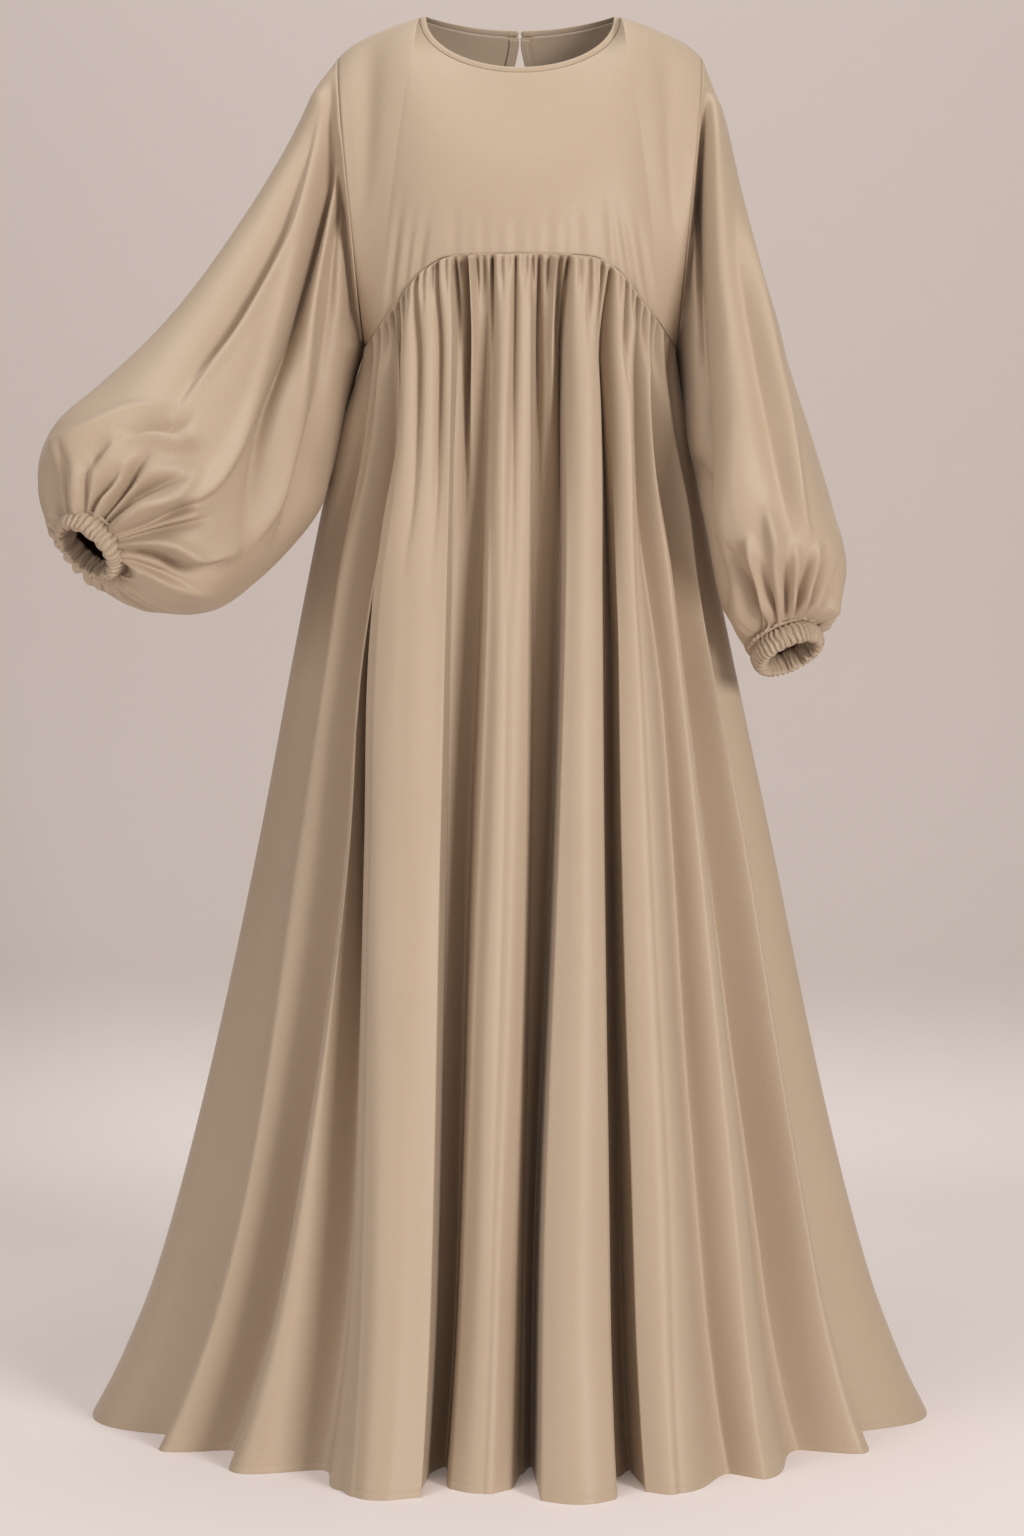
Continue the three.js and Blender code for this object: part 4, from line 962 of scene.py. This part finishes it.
class AbayaCloth(PropertyGroup):
    """Colours and finish of the crepe and the room."""

    colour: FloatVectorProperty(
        name="Crepe", description="Colour of the crepe", default=(0.48, 0.368, 0.264), subtype="COLOR"
    )
    roughness: FloatProperty(name="Roughness", description="Roughness of the crepe", default=0.5)
    sheen: FloatProperty(name="Sheen", description="Strength of the soft sheen", default=0.12)
    threads: FloatProperty(name="Threads", description="Threads in a metre of cloth", default=900.0)
    wall_colour: FloatVectorProperty(
        name="Wall", description="Colour of the wall", default=(0.625, 0.555, 0.52), subtype="COLOR"
    )
    # The floor is painted paler than the wall: painted light standing in for the overhead light on it.
    floor_colour_painted_paler: FloatVectorProperty(
        name="Floor", description="Colour of the floor", default=(0.94, 0.865, 0.85), subtype="COLOR"
    )


# ---- the stage, in metres ----

CAMERA = {"lens": 67.3, "sensor": 36, "reach": 50, "place": (-0.0084, -3.0, -0.785)}
SWEEP = {"front": -4.0, "back": 1.5, "radius": 1.0, "rise": 3.4, "half_width": 6, "rows": 60}
LIGHTS = named_rows(("name", "location", "target", "size", "power", "colour"), (
    ("key", (2.9, -3.9, 0.45), (0.0, 0.0, -0.75), 1.5, 152, (1.0, 0.98, 0.95)),
    ("fill", (-3.2, -3.6, -0.3), (0.0, 0.0, -0.8), 2.4, 58, (1.0, 0.98, 0.96)),
    ("overhead", (-0.5, -1.0, 2.4), (-0.4, -0.7, -1.4), 2.4, 53, (1.0, 0.98, 0.96)),
    ("wall wash", (0.0, 1.2, 2.9), (0.0, 2.5, 0.2), 2.4, 34, (1.0, 0.98, 0.96)),
))
ROOM_LIGHT = {"Color": (0.83, 0.78, 0.75, 1), "Strength": 0.11}


# ---- operators ----


class ABAYA_OT_stage(Operator):
    """Set the camera, the lights, the floor and the wall"""

    bl_idname = "abaya.stage"
    bl_label = "Stage"

    def execute(self, context):
        look = context.scene.abaya_cloth
        camera_data = bpy.data.cameras.new("camera")
        camera_data.lens = CAMERA["lens"]
        camera_data.sensor_width = CAMERA["sensor"]
        camera_data.clip_end = CAMERA["reach"]
        camera = bpy.data.objects.new("camera", camera_data)
        camera.location = CAMERA["place"]
        camera.rotation_euler = (math.pi / 2, 0, 0)
        context.scene.collection.objects.link(camera)
        context.scene.camera = camera
        maker = bmesh.new()
        bmesh.ops.create_grid(maker, x_segments=2, y_segments=SWEEP["rows"], size=1.0)
        for vert in maker.verts:
            vert.co = sweep_point(vert.co.x, (vert.co.y + 1) / 2)
        for face in maker.faces:
            face.smooth = True
        sweep = as_object("studio_sweep", maker)
        sweep.data.materials.append(studio_paper(look))
        for light in LIGHTS:
            area_light(**light)
        world = bpy.data.worlds.new("room")
        world.use_nodes = True
        set_inputs(world.node_tree.nodes["Background"], ROOM_LIGHT)
        context.scene.world = world
        context.scene.view_settings.view_transform = "Standard"
        return {"FINISHED"}


def sweep_point(across, share):
    """A point of the paper, which runs back over the floor, curves up and rises as a wall."""
    floor_level = HEM_LEVEL * MM
    front, back, radius = SWEEP["front"], SWEEP["back"], SWEEP["radius"]
    flat = back - front
    curve = radius * math.pi / 2
    travelled = share * (flat + curve + SWEEP["rise"])
    x = across * SWEEP["half_width"]
    if travelled <= flat:
        return (x, front + travelled, floor_level)
    if travelled <= flat + curve:
        turn = (travelled - flat) / radius
        return (x, back + radius * math.sin(turn), floor_level + radius * (1 - math.cos(turn)))
    return (x, back + radius, floor_level + radius + travelled - flat - curve)


def area_light(name, location, target, size, power, colour):
    data = bpy.data.lights.new(name, "AREA")
    data.shape = "SQUARE"
    data.size = size
    data.energy = power
    data.color = colour
    lamp = bpy.data.objects.new(name, data)
    lamp.location = location
    aim = Vector(target) - Vector(location)
    lamp.rotation_euler = aim.to_track_quat("-Z", "Y").to_euler()
    bpy.context.scene.collection.objects.link(lamp)


class ABAYA_OT_bodice(Operator):
    """Cut the front and back yokes"""

    bl_idname = "abaya.bodice"
    bl_label = "Bodice"

    def execute(self, context):
        cut = context.scene.abaya_cut
        material = crepe("crepe bodice", context.scene.abaya_cloth)
        for name, side, creases in (("front", -1, FRONT_CREASES), ("back", 1, BACK_CREASES)):
            columns, rows = 161, 96
            strip = 1 / columns

            def point(u, v, side=side, creases=creases):
                place = (2 * u - 1) * -side
                down = 1 - v
                if side > 0:
                    place = keyhole_place(place, down, strip)
                half = UNDERARM * 0.9
                depth = crease_depth(creases, place, down, half)
                where = bodice_point(place, side, down)
                depth += 0.45 * math.exp(-(((1 - down) * 250 - 2.2) / 0.9) ** 2)
                inset = ease((1 - abs(place)) / 0.03) * ease(down / 0.02)
                wander = noise.noise(Vector((place * 2.4, down * 2.6, side * 3.1)))
                return where - bodice_normal(place, side, down) * (depth * inset - 1.4 * wander * inset)

            def cut_uv(u, v):
                return (u * 0.42, v * 0.32)

            def in_keyhole(u, v):
                return abs(2 * u - 1) < strip and below_nape(1 - v) < KEYHOLE["length"]

            drop = in_keyhole if side > 0 else None
            piece = cloth("yoke_%s_cloth" % name, columns, rows, point, cut_uv, cut.wall, drop=drop)
            finish_piece(piece, "yoke_" + name, material)
        return {"FINISHED"}


def down_at(below):
    """The share of the way down the back that lies this far below the neck, by halving."""
    low, high = 0.0, 1.0
    for _ in range(18):
        down = (low + high) / 2
        if below_nape(down) < below:
            low = down
        else:
            high = down
    return down


class ABAYA_OT_keyhole_facing(Operator):
    """Sew the facing round the keyhole at the back of the neck"""

    bl_idname = "abaya.keyhole_facing"
    bl_label = "Keyhole facing"

    def execute(self, context):
        length = KEYHOLE["length"]

        def outline(t, across):
            """Runs down the right edge, round the bottom and up the left edge."""
            side = -1 if t < 0.5 else 1
            run = 1 - abs(2 * t - 1)
            below = 2 + run * (length - 2)
            half = keyhole_half(below)
            spread = across * math.cos(math.pi / 2 * max(0.0, (run - 0.9) / 0.1))
            return side * (half + 0.3 + spread), below + across * ease((run - 0.82) / 0.18)

        def point(u, v):
            across = v * KEYHOLE["facing"]
            x, below = outline(u, across)
            down = down_at(below)
            place = x / across_per_place(down)
            where = bodice_point(place, 1, down)
            groove = 0.35 * (dent(across - 2.2, 0.5) + dent(across - 7.4, 0.5))
            return where - bodice_normal(place, 1, down) * (1.35 + 0.7 - groove)

        piece = cloth("keyhole_facing_cloth", 120, 16, point, lambda u, v: (u * 0.24, v * 0.01), 0.0006)
        material = crepe("crepe facing", context.scene.abaya_cloth, tone=0.97)
        finish_piece(piece, "keyhole_facing", material)
        return {"FINISHED"}


class ABAYA_OT_neck_binding(Operator):
    """Bind the neck edge and fold the two tabs at its ends"""

    bl_idname = "abaya.neck_binding"
    bl_label = "Neck binding"

    def execute(self, context):
        start = math.pi / 2 + 0.9 / NECK["half_width"] - 2 * math.pi
        end = math.pi / 2 - 0.9 / NECK["half_width"]

        def point(u, v):
            turn = mix(start, end, u)
            along = min(u, 1 - u) * 480
            around = v * 2 * math.pi
            tab = 1 - ease((along - 8) / 2.5)
            cap = math.sqrt(max(0.0, 1 - max(0.0, 1 - along / 1.8) ** 2))
            half = BINDING_WIDTH / 2 * (1 + 0.12 * tab) * cap
            thick = (1.0 + 0.9 * tab) * cap
            side = math.copysign(abs(math.cos(around)) ** 0.7, math.cos(around))
            across = BINDING_WIDTH / 2 + half * side
            rise = thick * math.copysign(abs(math.sin(around)) ** 0.8, math.sin(around))
            outside = math.sin(around) > 0
            if outside:
                rise -= 0.4 * cap * dent(across - 4.9, 0.35)
            return neck_point(turn, across) + neck_normal(turn) * (rise - 0.35)

        def cut_uv(u, v):
            return (u * 0.5, v * 0.016)

        piece = cloth("neck_binding_cloth", 360, 28, point, cut_uv, 0, closed=True)
        turn_outward(piece)
        material = crepe("crepe binding", context.scene.abaya_cloth, tone=0.96)
        finish_piece(piece, "neck_binding", material)
        return {"FINISHED"}


def turn_outward(piece):
    """Makes every face of a closed piece point out of it."""
    maker = bmesh.new()
    maker.from_mesh(piece.data)
    bmesh.ops.recalc_face_normals(maker, faces=maker.faces)
    maker.to_mesh(piece.data)
    maker.free()


class ABAYA_OT_skirt(Operator):
    """Gather the front and back skirt panels to the arched seam"""

    bl_idname = "abaya.skirt"
    bl_label = "Skirt"

    def execute(self, context):
        cut = context.scene.abaya_cut
        material = crepe("crepe skirt", context.scene.abaya_cloth)
        count = len(FRONT_GATHERS)
        lengths = [FRONT_GATHERS[(7 * i + 3) % count]["long"] for i in range(count)]
        back_gathers = [
            {"across": -0.97 * row["across"], "deep": row["deep"], "long": length}
            for row, length in zip(FRONT_GATHERS, lengths)
        ]
        for name, folds, gathers, side in (
            ("front", FRONT_FOLDS, FRONT_GATHERS, -1),
            ("back", BACK_FOLDS, back_gathers, 1),
        ):
            middle = cut.skirt_rows
            panel = SkirtPanel(folds, gathers, side, middle)
            tops, hems = SKIRT_TOP_DROPS, SKIRT_HEM_HEIGHTS
            rows = len(tops) + middle + len(hems) - 1

            def point(u, v, panel=panel, side=side, rows=rows):
                return panel.point(u if side < 0 else 1 - u, round((1 - v) * rows))

            def cut_uv(u, v, rows=rows):
                row = round((1 - v) * rows)
                if row >= len(tops) + middle:
                    return (u * CUT_WIDTH, hems[row - len(tops) - middle] * MM)
                if row < len(tops):
                    return (u * CUT_WIDTH, CUT_LENGTH - tops[row] * MM)
                part = (row - len(tops) + 1) / (middle + 1)
                return (u * CUT_WIDTH, mix(CUT_LENGTH - tops[-1] * MM, hems[0] * MM, part))

            piece = cloth("skirt_%s_cloth" % name, cut.skirt_columns, rows, point, cut_uv, cut.wall)
            finish_piece(piece, "skirt_" + name, material)
        return {"FINISHED"}


class ABAYA_OT_sleeves(Operator):
    """Cut the two full sleeves and gather them to their cuffs"""

    bl_idname = "abaya.sleeves"
    bl_label = "Sleeves"

    def execute(self, context):
        cut = context.scene.abaya_cut
        material = crepe("crepe sleeve", context.scene.abaya_cloth)
        for name, sign, rings, cuff, creases, folds in (
            ("right", -1, RIGHT_RINGS, RIGHT_CUFF, RIGHT_CREASES, RIGHT_SLEEVE_FOLDS),
            ("left", 1, LEFT_RINGS, LEFT_CUFF, LEFT_CREASES, LEFT_SLEEVE_FOLDS),
        ):
            form = SleeveForm(sign, rings, cuff, creases, folds)

            def point(u, v, form=form, sign=sign):
                along = sleeve_along(1 - v)
                turn = (u if sign < 0 else 1 - u) * 2 * math.pi
                return form.point(along, turn % (2 * math.pi))

            piece = cloth(
                "sleeve_%s_cloth" % name,
                cut.sleeve_columns,
                cut.sleeve_rows,
                point,
                lambda u, v: (u * 0.62, v * 0.62),
                cut.wall,
                closed=True,
            )
            finish_piece(piece, "sleeve_" + name, material)
        return {"FINISHED"}


def sleeve_along(share):
    """Rows are evenly spread from the armhole and stand closer together near the cuff."""
    return share if share < 0.55 else 0.55 + 0.45 * (1 - (1 - (share - 0.55) / 0.45) ** 1.35)


class ABAYA_OT_cuffs(Operator):
    """Make the ruched elastic cuffs"""

    bl_idname = "abaya.cuffs"
    bl_label = "Cuffs"

    def execute(self, context):
        material = crepe("crepe cuff", context.scene.abaya_cloth, tone=0.97)
        for name, sign, cuff in (("right", -1, RIGHT_CUFF), ("left", 1, LEFT_CUFF)):
            faces, up, front, joint = cuff_frame(cuff)

            def point(u, v, sign=sign, faces=faces, up=up, front=front, joint=joint):
                turn = (u if sign < 0 else 1 - u) * 2 * math.pi
                around = v * 2 * math.pi
                along = CUFF["length"] / 2 * (1 - signed_power(math.cos(around), 0.75))
                outside = signed_power(math.sin(around), 0.8)
                gather = ruching(turn, along / CUFF["length"], sign)
                radius = CUFF["radius"] - CUFF["thick"] / 2
                radius += outside * (CUFF["thick"] / 2 + CUFF["casing"])
                bulge = CUFF["bulge"] * math.sin(math.pi * along / CUFF["length"])
                radius += bulge * (1 if outside > 0 else CUFF["inner_bulge"])
                if outside > 0:
                    radius += CUFF["outer_ruching"] * gather
                else:
                    ruffle = abs(math.sin(7.5 * turn + 0.7 * math.sin(3 * turn + sign)))
                    radius += CUFF["inner_ruching"] * gather - CUFF["ruffle"] * ruffle
                shift = gather * CUFF["edge_ruching"] * math.cos(around)
                where = joint + faces * (along - shift)
                return where + up * (math.cos(turn) * radius) + front * (math.sin(turn) * radius)

            casing = "cuff_%s_cloth" % name
            piece = cloth(casing, 480, 28, point, lambda u, v: (u * 0.34, v * 0.06), 0, closed=True)
            turn_outward(piece)
            finish_piece(piece, "cuff_" + name, material)
        return {"FINISHED"}


def signed_power(value, power):
    return math.copysign(abs(value) ** power, value)


def ruching(turn, along, sign):
    """Uneven small gathers round an elastic, from -1 in a valley to about 0.6 on a ridge."""
    slant = turn + 0.035 * math.sin(5 * turn + sign) + 0.02 * math.sin(3 * along * math.pi + 4 * turn)
    phase = 38 * slant + 1.3 * math.sin(3 * slant + 0.6 * sign) + 0.9 * math.sin(7 * slant)
    ridge = abs(math.sin(phase / 2)) ** 0.55
    fine = abs(math.sin(phase * 0.93 + 2.2 + 1.5 * along)) ** 0.7
    return 1.15 * ridge + 0.4 * fine - 1.1


class ABAYA_PT_panel(Panel):
    """The abaya's sizes, finish and pieces"""

    bl_label = "Abaya"
    bl_space_type = "VIEW_3D"
    bl_region_type = "UI"
    bl_category = "Abaya"

    def draw(self, context):
        for group in (context.scene.abaya_cut, context.scene.abaya_cloth):
            for name in group.__annotations__:
                self.layout.prop(group, name)
        for operator in OPERATORS:
            self.layout.operator(operator.bl_idname)


OPERATORS = (
    ABAYA_OT_stage,
    ABAYA_OT_bodice,
    ABAYA_OT_keyhole_facing,
    ABAYA_OT_neck_binding,
    ABAYA_OT_skirt,
    ABAYA_OT_sleeves,
    ABAYA_OT_cuffs,
)
CLASSES = (AbayaCut, AbayaCloth, *OPERATORS, ABAYA_PT_panel)


def register():
    for item in CLASSES:
        bpy.utils.register_class(item)
    bpy.types.Scene.abaya_cut = PointerProperty(type=AbayaCut)
    bpy.types.Scene.abaya_cloth = PointerProperty(type=AbayaCloth)


def unregister():
    del bpy.types.Scene.abaya_cloth
    del bpy.types.Scene.abaya_cut
    for item in reversed(CLASSES):
        bpy.utils.unregister_class(item)


def main():
    register()
    bpy.ops.abaya.stage()
    bpy.ops.abaya.bodice()
    bpy.ops.abaya.keyhole_facing()
    bpy.ops.abaya.neck_binding()
    bpy.ops.abaya.skirt()
    bpy.ops.abaya.sleeves()
    bpy.ops.abaya.cuffs()


if __name__ == "__main__":
    main()
